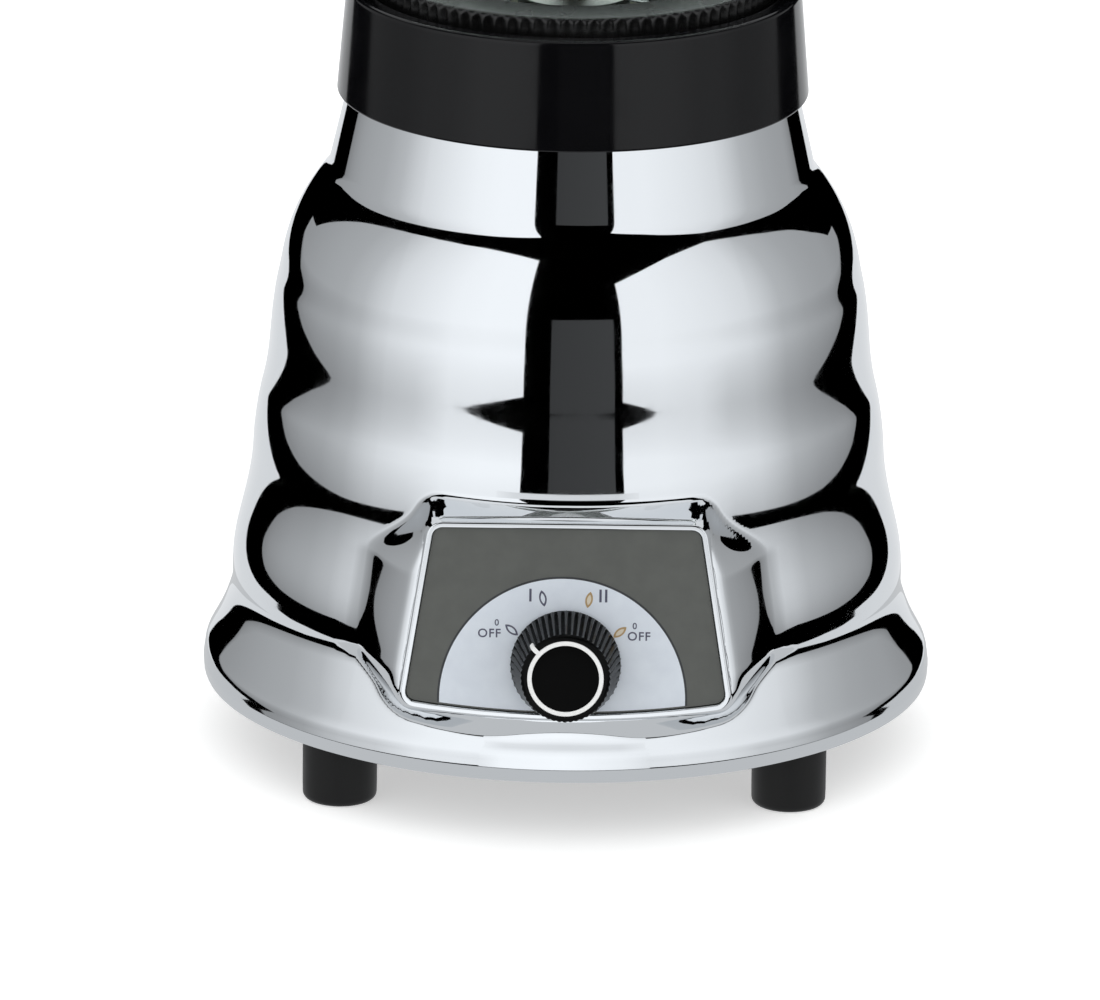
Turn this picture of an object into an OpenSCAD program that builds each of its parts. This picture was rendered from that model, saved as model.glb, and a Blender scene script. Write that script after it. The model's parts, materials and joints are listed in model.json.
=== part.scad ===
// Countertop blender: a chrome beehive motor base with a two-speed dial, and a glass jar with its
// cutter unit, lid and filler cap. Millimetres, +Z up. The origin is on the floor under the base's
// axis, the dial panel faces -Y, and the jar's handle points to +X.

/* [Base shell] */
// Clear height between the floor and the rim
rim_z = 17; // [14:0.5:24]
// Diameter of the rim's bead
rim_d = 190.8; // [186:0.2:200]
// Height of the thin lip under the bead
lip_h = 3.4; // [2.5:0.1:5]
// Height of the rounded bead
bead_h = 5.6; // [5:0.1:8]
// Height of the concave flare above the bead
flare_h = 16; // [12:0.5:22]
// Diameter at the top of the flare
flare_top_d = 175.8; // [172:0.2:180]
// Height of the lowest tier
tier_one_h = 24; // [20:0.5:30]
// Diameter at the top of the lowest tier
tier_one_top_d = 168.4; // [164:0.2:172]
// Diameter at the foot of the middle tier
tier_two_foot_d = 166; // [160:0.2:168]
// Height of the middle tier
tier_two_h = 24.5; // [20:0.5:30]
// Diameter at the top of the middle tier
tier_two_top_d = 159.8; // [156:0.2:164]
// Diameter at the foot of the upper tier
tier_three_foot_d = 157.2; // [152:0.2:160]
// Height of the upper tier
tier_three_h = 19.5; // [16:0.5:26]
// Diameter at the top of the upper tier
tier_three_top_d = 153.2; // [150:0.2:158]
// Diameter at the foot of the shoulder
shoulder_foot_d = 150.8; // [146:0.2:154]
// Height of the shoulder
shoulder_h = 23; // [18:0.5:30]
// Diameter at the top of the shoulder
shoulder_top_d = 129.4; // [126:0.2:136]
// Diameter at the foot of the neck
neck_foot_d = 125.8; // [122:0.2:130]
// Visible height of the neck, up to the collar
neck_h = 19; // [15:0.5:26]
// Diameter of the neck where it meets the collar
neck_top_d = 117; // [114:0.2:119]
// Height of the soft crease between two tiers
crease_h = 6.5; // [4:0.5:9]
// Height of the crease under the neck
neck_crease_h = 3.5; // [2.5:0.5:6]
// Wall thickness of the casting
shell_t = 2.2; // [1.8:0.1:3]
// Thickness of the deck that closes the neck
deck_t = 3; // [2.5:0.5:5]

/* [Dial panel] */
// Height of the knob's axis above the rim
knob_rise = 31; // [28:0.5:36]
// Distance of the panel's face from the base's axis, at the knob
panel_reach = 91.2; // [90:0.2:95]
// How far the panel leans back, in degrees
panel_tilt = 7.5; // [4:0.5:10]
// Width of the dial plate's top edge
plate_top_w = 67.8; // [60:0.2:76]
// Width of the dial plate across its lower corners
plate_low_w = 82; // [76:0.2:90]
// Height of the plate's top edge above the knob's axis
plate_up = 35; // [30:0.5:40]
// Depth of the plate's lower corners below the knob's axis
plate_down = 9.5; // [8:0.5:12]
// How much the plate's lower edge bows downwards
plate_bow = 3.4; // [1:0.1:5]
// Corner radius of the dial plate
plate_corner_r = 2.5; // [1.5:0.1:4]
// Thickness of the dial plate
plate_t = 0.6; // [0.4:0.1:1]
// Width of the bezel around the plate
bezel_w = 1.6; // [1.2:0.1:3]
// Height of the bezel above the plate's face
bezel_h = 1; // [0.5:0.1:2]
// Thickness of the panel's wall behind the plate
panel_t = 3; // [2:0.1:4]

/* [Knob and switch] */
// Diameter of the knob at the panel
knob_d = 28.8; // [26:0.2:32]
// Diameter of the knob's face
knob_face_d = 22.6; // [21:0.2:25]
// Height of the knob's face above the plate
knob_h = 20; // [17:0.5:24]
// Gap between the knob and the plate
knob_gap = 1; // [0.6:0.1:1.5]
// Number of flutes around the knob
knob_flutes = 40; // [24:1:48]
// Outer diameter of the white ring on the face
ring_d = 19.4; // [17:0.2:20]
// Width of the white ring
ring_w = 1.1; // [0.8:0.1:1.6]
// Depth of the ring and the disc in the face
inlay_t = 1.2; // [0.8:0.1:1.6]
// Width of the pointer beside the ring
pointer_w = 1.2; // [0.8:0.1:1.6]
// Depth of the pointer in the face
pointer_t = 0.8; // [0.6:0.1:0.8]
// Angle of the pointer in the off position, counter-clockwise from the right
pointer_deg = 137; // [130:1:150]
// Diameter of the switch's shaft
switch_shaft_d = 6; // [5:0.5:6.5]
// Diameter of the switch's threaded bush
switch_bush_d = 9.5; // [9:0.1:10.5]
// Width and height of the switch's case
switch_w = 22; // [20:0.5:26]
// Depth of the switch's case
switch_depth = 14; // [12:0.5:18]
// Width across flats of the switch's nut
switch_nut_af = 12.7; // [12:0.1:14]
// Thickness of the switch's nut
switch_nut_h = 2.2; // [1.6:0.1:3]

/* [Bottom and feet] */
// Thickness of the bottom plate
bottom_t = 1.6; // [1.2:0.1:2.5]
// How far the bottom plate sits above the rim's edge
bottom_recess = 2; // [1:0.5:3]
// Diameter of a foot
foot_d = 19.3; // [17:0.1:20]
// Distance of a foot's centre from the base's axis
foot_radius = 82.2; // [80:0.1:83]
// Radius of a foot's lower edge
foot_edge_r = 1.8; // [1:0.1:3]
// Diameter of the long posts and screw posts' thread holes
screw_d = 4; // [3.5:0.1:4.5]
// Diameter of the screw heads
screw_head_d = 7.2; // [6.5:0.1:8]
// Height of the screw heads
screw_head_h = 2.4; // [1.8:0.1:3]
// Height of the cord's hole above the rim
cord_rise = 37; // [34:0.5:42]
// Bore of the cord grommet
cord_bore_d = 7.8; // [6:0.1:9]
// Diameter of the hole for the grommet
grommet_hole_d = 14; // [12.5:0.1:16]

/* [Collar] */
// Diameter of the collar's lower edge
collar_low_d = 122.4; // [121:0.2:126]
// Diameter of the collar's upper edge
collar_top_d = 117.6; // [115:0.2:120]
// Height of the collar
collar_h = 28.5; // [25:0.5:34]
// Height of the neck that the collar covers
collar_lap = 6; // [4.5:0.5:8]
// Thickness of the socket's floor
collar_floor_t = 3; // [2.5:0.5:4]
// Diameter of the hole in the socket's floor
collar_hole_d = 34; // [31:0.5:40]
// Number of keys that stop the jar from turning
collar_keys = 4; // [3:1:6]
// Width of a key
key_w = 3.2; // [2.5:0.1:5]
// Height of a key above the socket's floor
key_h = 12; // [8:0.5:15]

/* [Jar nut] */
// Diameter over the ribs of the jar nut
nut_d = 105; // [102:0.2:106]
// Height of the jar nut
nut_h = 23.5; // [21:0.5:27]
// Number of ribs around the nut
nut_ribs = 60; // [40:1:72]
// Depth of the grooves between the ribs
nut_rib_h = 1; // [0.5:0.1:1.3]
// Thickness of the nut's outer skirt under the ribs
nut_skirt_t = 2.6; // [2.2:0.1:3.2]
// Thickness of the nut's sleeve around the jar's foot
nut_sleeve_t = 3; // [2.5:0.1:4]
// Thickness of the ledge that carries the cutter unit
nut_ledge_t = 3; // [2.5:0.1:4]
// Gap around the nut in the collar
nut_gap = 1.2; // [0.8:0.1:1.6]

/* [Jar] */
// Diameter of the jar's foot
jar_foot_d = 76; // [72:0.5:80]
// Length of the jar's foot
jar_foot_h = 18.5; // [17.5:0.5:21]
// Height of the jar from the foot's edge to the rim
jar_h = 176; // [160:1:200]
// Diameter of the jar where its body begins
jar_low_d = 94; // [90:0.5:100]
// Diameter of the jar's mouth, outside
jar_mouth_d = 125; // [120:0.5:132]
// Thickness of the glass
glass_t = 4.5; // [3.5:0.1:5]
// How far the handle reaches from the jar's axis
handle_reach = 94; // [90:0.5:95]
// Thickness of the handle's strap
handle_t = 12; // [10:0.5:14]
// Width of the handle
handle_w = 17; // [14:0.5:22]
// Height of the handle
handle_h = 106; // [95:1:112]
// Gap from the rim down to the handle
handle_drop = 16; // [12:0.5:22]
// How far the spout reaches from the jar's axis
spout_reach = 73; // [69:0.5:76]

/* [Lid and filler cap] */
// Diameter of the lid's disc
lid_d = 132; // [128:0.5:136]
// Thickness of the lid's disc
lid_t = 6; // [4.5:0.5:8]
// Depth of the lid's plug in the jar's mouth
lid_plug_h = 11; // [8:0.5:16]
// Thickness of the plug's wall
lid_plug_t = 3; // [2.4:0.1:4]
// Diameter of the filler hole
filler_d = 52; // [46:0.5:58]
// Height of the cap above the lid
cap_h = 15; // [12:0.5:20]
// Depth of the cap below the lid's top
cap_depth = 18; // [14:0.5:24]
// Wall of the cap
cap_t = 2.4; // [2:0.1:3.2]

/* [Cutter unit] */
// Diameter of the blade shaft
blade_shaft_d = 8; // [7:0.5:9]
// Thickness of the blades
blade_t = 1.4; // [1.2:0.1:2]
// Radius of the circle that the blade tips draw
blade_reach = 27; // [22:0.5:29]
// Bend of the upper blade, in degrees
blade_up_deg = 38; // [25:1:45]
// Bend of the lower blade, in degrees
blade_down_deg = 18; // [8:1:22]
// Diameter of the cutter's carrier
carrier_t = 1.5; // [1.2:0.1:2]
// Thickness of the gasket under the jar
gasket_t = 2; // [1.5:0.1:3]
// Width across the flats of the drive stud
stud_af = 12.7; // [11.5:0.1:13.2]
// Height of the drive stud
stud_h = 9.2; // [8.6:0.1:9.6]
// Outer diameter of the jar's drive socket
socket_d = 23; // [22:0.1:24]

/* [Motor] */
// Diameter of the motor shaft
shaft_d = 8; // [7:0.5:9]
// Diameter of the armature
armature_d = 45.6; // [42:0.2:48]
// Height of the laminated stack
stack_h = 36; // [30:0.5:40]
// Width of the field stack
field_w = 92; // [90:0.5:96]
// Depth of the field stack, front to back
field_depth = 96; // [92:0.5:100]
// Depth of the window in the field stack
window_depth = 74; // [70:0.5:78]
// Air gap between armature and field
air_gap = 0.7; // [0.4:0.1:1]
// Distance of the through-bolts from the axis
bolt_x = 39.5; // [39:0.1:40.5]
// Thickness of the motor brackets
bracket_t = 8; // [7:0.5:10]
// Diameter of the commutator
commutator_d = 24; // [22:0.2:26]
// Length of the commutator
commutator_h = 16; // [14:0.5:18]
// Outer diameter of the bronze bearings
bearing_d = 16; // [14:0.5:18]
// Length of the bronze bearings
bearing_h = 12; // [10:0.5:14]
// Diameter of the cooling fan
fan_d = 88; // [80:0.5:96]
// Height of the cooling fan
fan_h = 14; // [10:0.5:16]
// Number of blades on the fan
fan_blades = 9; // [7:1:12]

/* [Hidden] */
$fn = 96;
running = 0.04;
loose = 0.3;
slide_gap = 0.5;

// Heights of the base, from the floor up
lip_top_z = rim_z + lip_h;
bead_top_z = lip_top_z + bead_h;
flare_top_z = bead_top_z + flare_h;
tier_one_top_z = flare_top_z + tier_one_h;
tier_two_foot_z = tier_one_top_z + crease_h;
tier_two_top_z = tier_two_foot_z + tier_two_h;
tier_three_foot_z = tier_two_top_z + crease_h;
tier_three_top_z = tier_three_foot_z + tier_three_h;
shoulder_foot_z = tier_three_top_z + crease_h;
shoulder_top_z = shoulder_foot_z + shoulder_h;
neck_foot_z = shoulder_top_z + neck_crease_h;
neck_top_z = neck_foot_z + neck_h;
deck_z = neck_top_z + collar_lap;

// How far the wall leans in per millimetre of height, at the knots of the outline
bead_lean = 0.62;
tier_foot_lean = 0.08;
tier_top_lean = 0.28;
shoulder_top_lean = 0.82;
neck_lean = (neck_foot_d - neck_top_d) / 2 / neck_h;

// Each knot is [height, radius, lean, faces up to the next knot]
lip_r = rim_d / 2 - 0.6;
knots = [
    [bead_top_z, rim_d / 2 - 1.2, bead_lean, 5],
    [flare_top_z, flare_top_d / 2, tier_foot_lean, 6],
    [tier_one_top_z, tier_one_top_d / 2, tier_top_lean, 3],
    [tier_two_foot_z, tier_two_foot_d / 2, tier_foot_lean, 6],
    [tier_two_top_z, tier_two_top_d / 2, tier_top_lean, 3],
    [tier_three_foot_z, tier_three_foot_d / 2, tier_foot_lean, 6],
    [tier_three_top_z, tier_three_top_d / 2, tier_top_lean, 3],
    [shoulder_foot_z, shoulder_foot_d / 2, tier_foot_lean, 8],
    [shoulder_top_z, shoulder_top_d / 2, shoulder_top_lean, 3],
    [neck_foot_z, neck_foot_d / 2, neck_lean, 1],
    [neck_top_z, neck_top_d / 2, neck_lean, 1],
    [deck_z, neck_top_d / 2 - neck_lean * collar_lap, neck_lean, 1]
];

// A point of the smooth curve between two knots, t from 0 to 1
function between(a, b, t) =
    let (h = b[0] - a[0], t2 = t * t, t3 = t2 * t)
    [(2 * t3 - 3 * t2 + 1) * a[1] - (t3 - 2 * t2 + t) * h * a[2]
        + (3 * t2 - 2 * t3) * b[1] - (t3 - t2) * h * b[2], a[0] + h * t];
function outline(list, faces = 0) = [
    for (i = [0:len(list) - 2])
        let (n = faces > 0 ? min(faces, list[i][3]) : list[i][3])
        for (k = [0:n - 1]) between(list[i], list[i + 1], k / n),
    [list[len(list) - 1][1], list[len(list) - 1][0]]
];

// The wall's outline: the lip, the bead, then the tiers
bead_points = [
    [lip_r - 0.5, rim_z], [lip_r, rim_z + 0.6], [lip_r, lip_top_z - 0.4],
    [lip_r - 0.6, lip_top_z], [rim_d / 2 - 0.3, lip_top_z + 0.7],
    [rim_d / 2, lip_top_z + 1.8], [rim_d / 2, lip_top_z + 2.8],
    [rim_d / 2 - 0.4, lip_top_z + bead_h * 0.7]
];
wall_points = concat(bead_points, outline(knots));
inner_points = concat(
    [[lip_r - 0.6 - shell_t, rim_z], [lip_r - 0.6 - shell_t, lip_top_z]],
    [for (p = outline(knots, 3)) [p[0] - shell_t, min(p[1], deck_z - deck_t)]]
);

// Radius of the outer wall at a height on one of the tiers
function near_knot(z, i = 0) =
    i >= len(knots) - 2 || z < knots[i + 1][0] ? i : near_knot(z, i + 1);
function wall_r(z) =
    let (i = near_knot(z), a = knots[i], b = knots[i + 1])
    between(a, b, (z - a[0]) / (b[0] - a[0]))[0];

// The arc that replaces a corner b between a and c
function corner(a, b, c, r, n) =
    let (u = (a - b) / norm(a - b), v = (c - b) / norm(c - b), half = acos(u * v) / 2,
        o = b + (u + v) / norm(u + v) * r / sin(half),
        p = b + u * r / tan(half) - o, q = b + v * r / tan(half) - o,
        s = atan2(p.y, p.x), raw = atan2(q.y, q.x),
        e = raw - s > 180 ? raw - 360 : raw - s < -180 ? raw + 360 : raw)
    [for (k = [0:n]) o + r * [cos(s + (e - s) * k / n), sin(s + (e - s) * k / n)]];
function rounded(pts, radii, n = 6) = [
    for (i = [0:len(pts) - 1])
        let (a = pts[(i + len(pts) - 1) % len(pts)], c = pts[(i + 1) % len(pts)])
        each (radii[i] == 0 ? [pts[i]] : corner(a, pts[i], c, radii[i], n))
];
function box_points(w, d) = [[w / 2, d / 2], [-w / 2, d / 2], [-w / 2, -d / 2], [w / 2, -d / 2]];

// The dial plate's outline, grown by g, as [right, up] from the knob's axis
plate_lean = (plate_low_w - plate_top_w) / 2 / (plate_up + plate_down);
function plate_side(v, g) =
    plate_top_w / 2 + plate_lean * (plate_up - v) + g * sqrt(1 + plate_lean * plate_lean);
function plate_outline(g) =
    let (top = plate_up + g, low = -plate_down - g, x = plate_side(low, g),
        r = (x * x + plate_bow * plate_bow) / 2 / plate_bow, steps = 10)
    rounded(concat(
        [[plate_side(top, g), top], [-plate_side(top, g), top], [-x, low]],
        [for (k = [1:steps - 1]) let (s = x * (2 * k / steps - 1))
            [s, low - plate_bow + r - sqrt(r * r - s * s)]],
        [[x, low]]),
        concat([1, 1, 1] * (plate_corner_r + g), [for (k = [1:steps - 1]) 0],
            [plate_corner_r + g]));

// Places of the panel, the bottom and the cord's hole
knob_z = rim_z + knob_rise;
bottom_z = rim_z + bottom_recess;
bottom_top_z = bottom_z + bottom_t;
bottom_r = lip_r - 0.6 - shell_t - loose;
cord_z = rim_z + cord_rise;
cord_boss_y = wall_r(cord_z) + 2.4;
cord_boss_in_y = wall_r(cord_z) - shell_t - 1.6;
cord_boss_w = grommet_hole_d + 9;
panel_in = -plate_t - panel_t;
switch_back = panel_in - switch_depth;

// Heights from the deck up: collar, nut, carrier, gasket and jar
socket_z = deck_z + collar_floor_t;
collar_top_z = neck_top_z + collar_h;
socket_r = nut_d / 2 + nut_gap;
nut_z = socket_z + loose;
nut_top_z = nut_z + nut_h;
carrier_z = nut_z + nut_ledge_t;
gasket_z = carrier_z + carrier_t;
jar_z = gasket_z + gasket_t;
jar_top_z = jar_z + jar_h;
thread_gap = 0.5;
sleeve_r = jar_foot_d / 2 + thread_gap;
foot_in_r = jar_foot_d / 2 - glass_t;
ledge_r = foot_in_r - 3;
carrier_r = sleeve_r - loose;
body_z = jar_z + jar_foot_h + 9.5;
jar_knots = [
    [body_z, jar_low_d / 2, -0.34, 9],
    [jar_top_z - 8, jar_mouth_d / 2, -0.02, 1],
    [jar_top_z, jar_mouth_d / 2, 0, 1]
];
jar_flare = [for (p = outline(jar_knots)) p];
mouth_r = jar_mouth_d / 2 - glass_t;

// Drive stud, socket and cutter
stud_z = socket_z + loose;
stud_top_z = stud_z + stud_h;
coupling_z = stud_z + 1.6;
recess_top_z = stud_top_z + 0.8;
coupling_top_z = recess_top_z + 5.2;
hub_roof_z = coupling_top_z + 0.8;
bush_top_z = hub_roof_z + 11;
bush_flange_t = 0.8;
bush_r = blade_shaft_d / 2 + 1.5;
washer_t = 0.8;
washer_z = bush_top_z + bush_flange_t + 0.2;
lower_blade_z = washer_z + washer_t;
upper_blade_z = lower_blade_z + blade_t;
blade_nut_z = upper_blade_z + blade_t;
blade_nut_h = 5;
blade_hub_r = 8;
blade_root_r = blade_hub_r - 2;

// Lid and filler cap
lid_z = jar_top_z + loose;
lid_top_z = lid_z + lid_t;
plug_r = mouth_r - slide_gap;
cap_z = lid_top_z + loose;
cap_r = filler_d / 2 - slide_gap;
cap_flange_r = filler_d / 2 + 3.5;

// Motor heights, from the deck down
post_len = 22;
post_z = deck_z - deck_t - post_len;
mount_t = 6;
top_bracket_z = post_z - mount_t - bracket_t;
spacer_h = 10;
stack_top_z = top_bracket_z - spacer_h;
stack_z = stack_top_z - stack_h;
winding_h = 7;
commutator_top_z = stack_z - winding_h - 3;
commutator_z = commutator_top_z - commutator_h;
low_bracket_z = commutator_z - 6 - bracket_t;
fan_z = low_bracket_z - 4 - fan_h;
shaft_low_z = fan_z - 2;
shaft_r = shaft_d / 2;
armature_r = armature_d / 2;
field_bore_r = armature_r + air_gap;
window_w = 62;
pole_w = 26;
slot_w = 3;
slot_in_r = 12;
slots = 12;
top_bearing_z = top_bracket_z + bracket_t + 2;
low_bearing_z = low_bracket_z - 2;
bearing_boss_r = bearing_d / 2 + 4;
brush_z = commutator_z + commutator_h / 2;
brush_in_r = commutator_d / 2 + running;
brush_w = 6;
brush_tall = 8;
brush_len = 14;
holder_in_r = commutator_d / 2 + 1.5;
holder_len = 24;
holder_t = 1.2;
bolt_d = 4.5;
bolt_r = bolt_d / 2;
coil_h = stack_h + 2 * winding_h;
coil_t = 7;

// Puts its children in the panel's frame: X right, Y up the panel, Z out of it
module on_panel() {
    translate([0, -panel_reach, knob_z]) rotate([90 - panel_tilt, 0, 0]) children();
}
module ring(r_out, r_in, h) {
    difference() {
        cylinder(r = r_out, h = h);
        translate([0, 0, -1]) cylinder(r = r_in, h = h + 2);
    }
}
module at_feet() {
    for (a = [45:90:315]) rotate(a) translate([foot_radius, 0, 0]) children();
}
module at_collar_screws() {
    for (a = [90:120:330]) rotate(a) translate([40, 0, 0]) children();
}
module at_bolts() {
    for (s = [-1, 1]) translate([s * bolt_x, 0, 0]) children();
}
module lathe(points) {
    rotate_extrude() polygon(points);
}
// A bent rod through a list of points, a little thicker at its bends
module rod(points, r) {
    for (i = [0:len(points) - 2])
        let (d = points[i + 1] - points[i], flat = norm([d.x, d.y]))
            translate(points[i]) rotate([0, atan2(flat, d.z), atan2(d.y, d.x)])
                cylinder(r = r, h = norm(d), $fn = 16);
    for (i = [1:1:len(points) - 2]) translate(points[i]) sphere(r = r * 1.25, $fn = 16);
}

// ---- base ----
module housing() {
    post_r = 6;
    web_t = 3;
    color("silver") difference() {
        union() {
            difference() {
                union() {
                    lathe(concat([[0, rim_z]], wall_points, [[0, deck_z]]));
                    on_panel() translate([0, 0, -34]) linear_extrude(34 + bezel_h)
                        polygon(plate_outline(bezel_w));
                }
                lathe(concat([[0, rim_z - 1], [lip_r - 0.6 - shell_t, rim_z - 1]], inner_points,
                    [[0, deck_z - deck_t]]));
                on_panel() translate([0, 0, -36]) linear_extrude(36 + panel_in)
                    polygon(plate_outline(bezel_w - shell_t));
            }
            translate([0, cord_boss_in_y, cord_z]) rotate([-90, 0, 0])
                linear_extrude(cord_boss_y - cord_boss_in_y)
                    polygon(rounded(box_points(cord_boss_w, cord_boss_w), [1, 1, 1, 1] * 4));
            at_feet() translate([0, 0, bottom_top_z])
                cylinder(r = 5, h = flare_top_z - 3 - bottom_top_z);
            // A web ties each foot's post to the wall behind the bead
            at_feet() translate([0, -web_t / 2, bottom_top_z])
                cube([lip_r - 0.6 - shell_t / 2 - foot_radius, web_t, bead_h / 2]);
            at_bolts() translate([0, 0, post_z]) cylinder(r = post_r, h = post_len + 1);
            at_collar_screws() translate([0, 0, deck_z - deck_t - 9]) cylinder(r = 4.5, h = 10);
        }
        on_panel() {
            translate([0, 0, -plate_t]) linear_extrude(plate_t + bezel_h + 1)
                polygon(plate_outline(slide_gap / 2));
            translate([0, 0, -20]) cylinder(d = switch_bush_d + slide_gap, h = 30);
        }
        translate([0, 0, deck_z - deck_t - 1]) cylinder(r = shaft_r + 6, h = deck_t + 2);
        at_feet() translate([0, 0, bottom_top_z - 1]) cylinder(d = screw_d, h = 13);
        at_bolts() translate([0, 0, post_z - 1]) cylinder(r = bolt_r, h = 17);
        at_collar_screws() translate([0, 0, deck_z - 11]) cylinder(d = screw_d, h = 12);
        translate([0, cord_boss_in_y - 1, cord_z]) rotate([-90, 0, 0])
            cylinder(d = grommet_hole_d, h = 20);
    }
}

module bottom_plate() {
    vent_len = 17;
    color("dimgray") translate([0, 0, bottom_z]) difference() {
        cylinder(r = bottom_r, h = bottom_t);
        for (a = [0:15:345]) rotate(a) for (r = [28, 52]) translate([r, -1.6, -1])
            cube([vent_len, 3.2, bottom_t + 2]);
        at_feet() translate([0, 0, -1]) cylinder(d = screw_d + slide_gap, h = bottom_t + 2);
    }
}

module foot() {
    recess_h = 9;
    r = foot_d / 2;
    e = foot_edge_r;
    color("black") difference() {
        lathe(concat([[0, 0]],
            [for (k = [0:5]) [r - e + e * sin(18 * k), e - e * cos(18 * k)]],
            [[r, bottom_z], [0, bottom_z]]));
        translate([0, 0, -1]) cylinder(d = screw_head_d + 1, h = recess_h + 1);
        cylinder(d = screw_d + slide_gap, h = bottom_z + 1);
    }
}
module foot_at(a) {
    rotate(a) translate([foot_radius, 0, 0]) foot();
}
module screw(length) {
    translate([0, 0, -screw_head_h]) difference() {
        cylinder(d = screw_head_d, h = screw_head_h);
        for (a = [0, 90]) rotate(a) translate([-2.2, -0.5, -1]) cube([4.4, 1, 2.2]);
    }
    cylinder(d = screw_d - 0.1, h = length);
}
module foot_screws() {
    recess_h = 9;
    color("silver") at_feet() translate([0, 0, recess_h]) screw(bottom_top_z - recess_h + 11);
}

module cord_grommet() {
    flange_r = grommet_hole_d / 2 + 2.6;
    thick = cord_boss_y - cord_boss_in_y;
    bore_r = cord_bore_d / 2;
    color("black") translate([0, cord_boss_in_y, cord_z]) rotate([-90, 0, 0]) lathe([
        [bore_r, -1.6], [flange_r - 0.6, -1.6], [flange_r, 0], [grommet_hole_d / 2, 0],
        [grommet_hole_d / 2, thick], [flange_r, thick], [flange_r - 0.8, thick + 1.6],
        [bore_r + 1.6, thick + 3.4], [bore_r, thick + 3.4]
    ]);
}

// ---- dial panel ----
module dial_plate() {
    color("#5c5e5a") on_panel() translate([0, 0, -plate_t]) difference() {
        linear_extrude(plate_t) polygon(plate_outline(0));
        translate([0, 0, -1]) cylinder(d = switch_bush_d + slide_gap, h = plate_t + 2);
    }
}
module speed_switch() {
    color("tan") on_panel() difference() {
        union() {
            translate([0, 0, switch_back]) linear_extrude(switch_depth)
                polygon(rounded(box_points(switch_w, switch_w), [2, 2, 2, 2], 3));
            translate([0, 0, panel_in]) cylinder(d = switch_bush_d, h = 4 - panel_in);
            for (x = [-8, 0, 8]) translate([x - 0.4, -11, switch_back - 6]) cube([0.8, 5, 7]);
        }
        translate([0, 0, panel_in - 9]) cylinder(d = switch_shaft_d + 2 * running, h = 40);
    }
}
module switch_nut() {
    color("silver") on_panel() difference() {
        cylinder(r = switch_nut_af / sqrt(3), h = switch_nut_h, $fn = 6);
        translate([0, 0, -1]) cylinder(d = switch_bush_d, h = switch_nut_h + 2);
    }
}
module speed_diode() {
    body_r = 2.6;
    color("black") on_panel() translate([0, 4, switch_back - body_r]) {
        translate([-4.5, 0, 0]) rotate([0, 90, 0]) cylinder(r = body_r, h = 9);
        for (s = [-1, 1]) {
            rod([[s * 4.5, 0, 0], [s * 8, 0, 0], [s * 8, 0, body_r]], 0.5);
        }
    }
}
module knob() {
    face_r = knob_face_d / 2;
    skirt_r = knob_d / 2;
    hollow_r = switch_nut_af / sqrt(3) + 1.2;
    roof = max(switch_nut_h, 4) + 2;
    edge_r = 1.6;
    flute_r = 0.6;
    flute_depth = 0.4;
    flank = atan2(skirt_r - face_r, knob_h - knob_gap);
    pitch = 360 / knob_flutes;
    color("black") on_panel() difference() {
        lathe([
            [0, knob_gap], [skirt_r - 0.4, knob_gap], [skirt_r, knob_gap + 0.6],
            [face_r + 0.25, knob_h - edge_r], [face_r - 0.3, knob_h - 0.5],
            [face_r - 1, knob_h], [0, knob_h]
        ]);
        for (k = [0:knob_flutes - 1]) rotate(pointer_deg + pitch * (k + 0.5))
            translate([(skirt_r + face_r) / 2 + flute_r - flute_depth, 0, (knob_gap + knob_h) / 2])
                rotate([0, -flank, 0]) translate([0, 0, -knob_h])
                    cylinder(r = flute_r, h = 2 * knob_h, $fn = 16);
        translate([0, 0, -1]) cylinder(r = hollow_r, h = roof + 1);
        cylinder(d = switch_shaft_d, h = knob_h - 4.5);
        translate([0, 0, knob_h - inlay_t]) cylinder(d = ring_d, h = inlay_t + 1);
        rotate(pointer_deg) translate([ring_d / 2 - 0.6, -pointer_w / 2, knob_h - pointer_t])
            cube([knob_d, pointer_w, pointer_t + 1]);
    }
}
module pointer_ring() {
    face_r = knob_face_d / 2;
    color("white") on_panel() translate([0, 0, knob_h - inlay_t]) {
        ring(ring_d / 2, ring_d / 2 - ring_w, inlay_t);
        rotate(pointer_deg) translate([ring_d / 2 - 0.5, -pointer_w / 2, inlay_t - pointer_t])
            cube([face_r - 0.3 - ring_d / 2 + 0.5, pointer_w, pointer_t - 0.3]);
    }
}
module knob_disc() {
    color("black") on_panel() translate([0, 0, knob_h - inlay_t])
        cylinder(r = ring_d / 2 - ring_w, h = inlay_t);
}
module switch_shaft() {
    color("silver") on_panel() translate([0, 0, panel_in - 8.5])
        cylinder(d = switch_shaft_d, h = knob_h - 4.5 - panel_in + 8.5);
}

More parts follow.
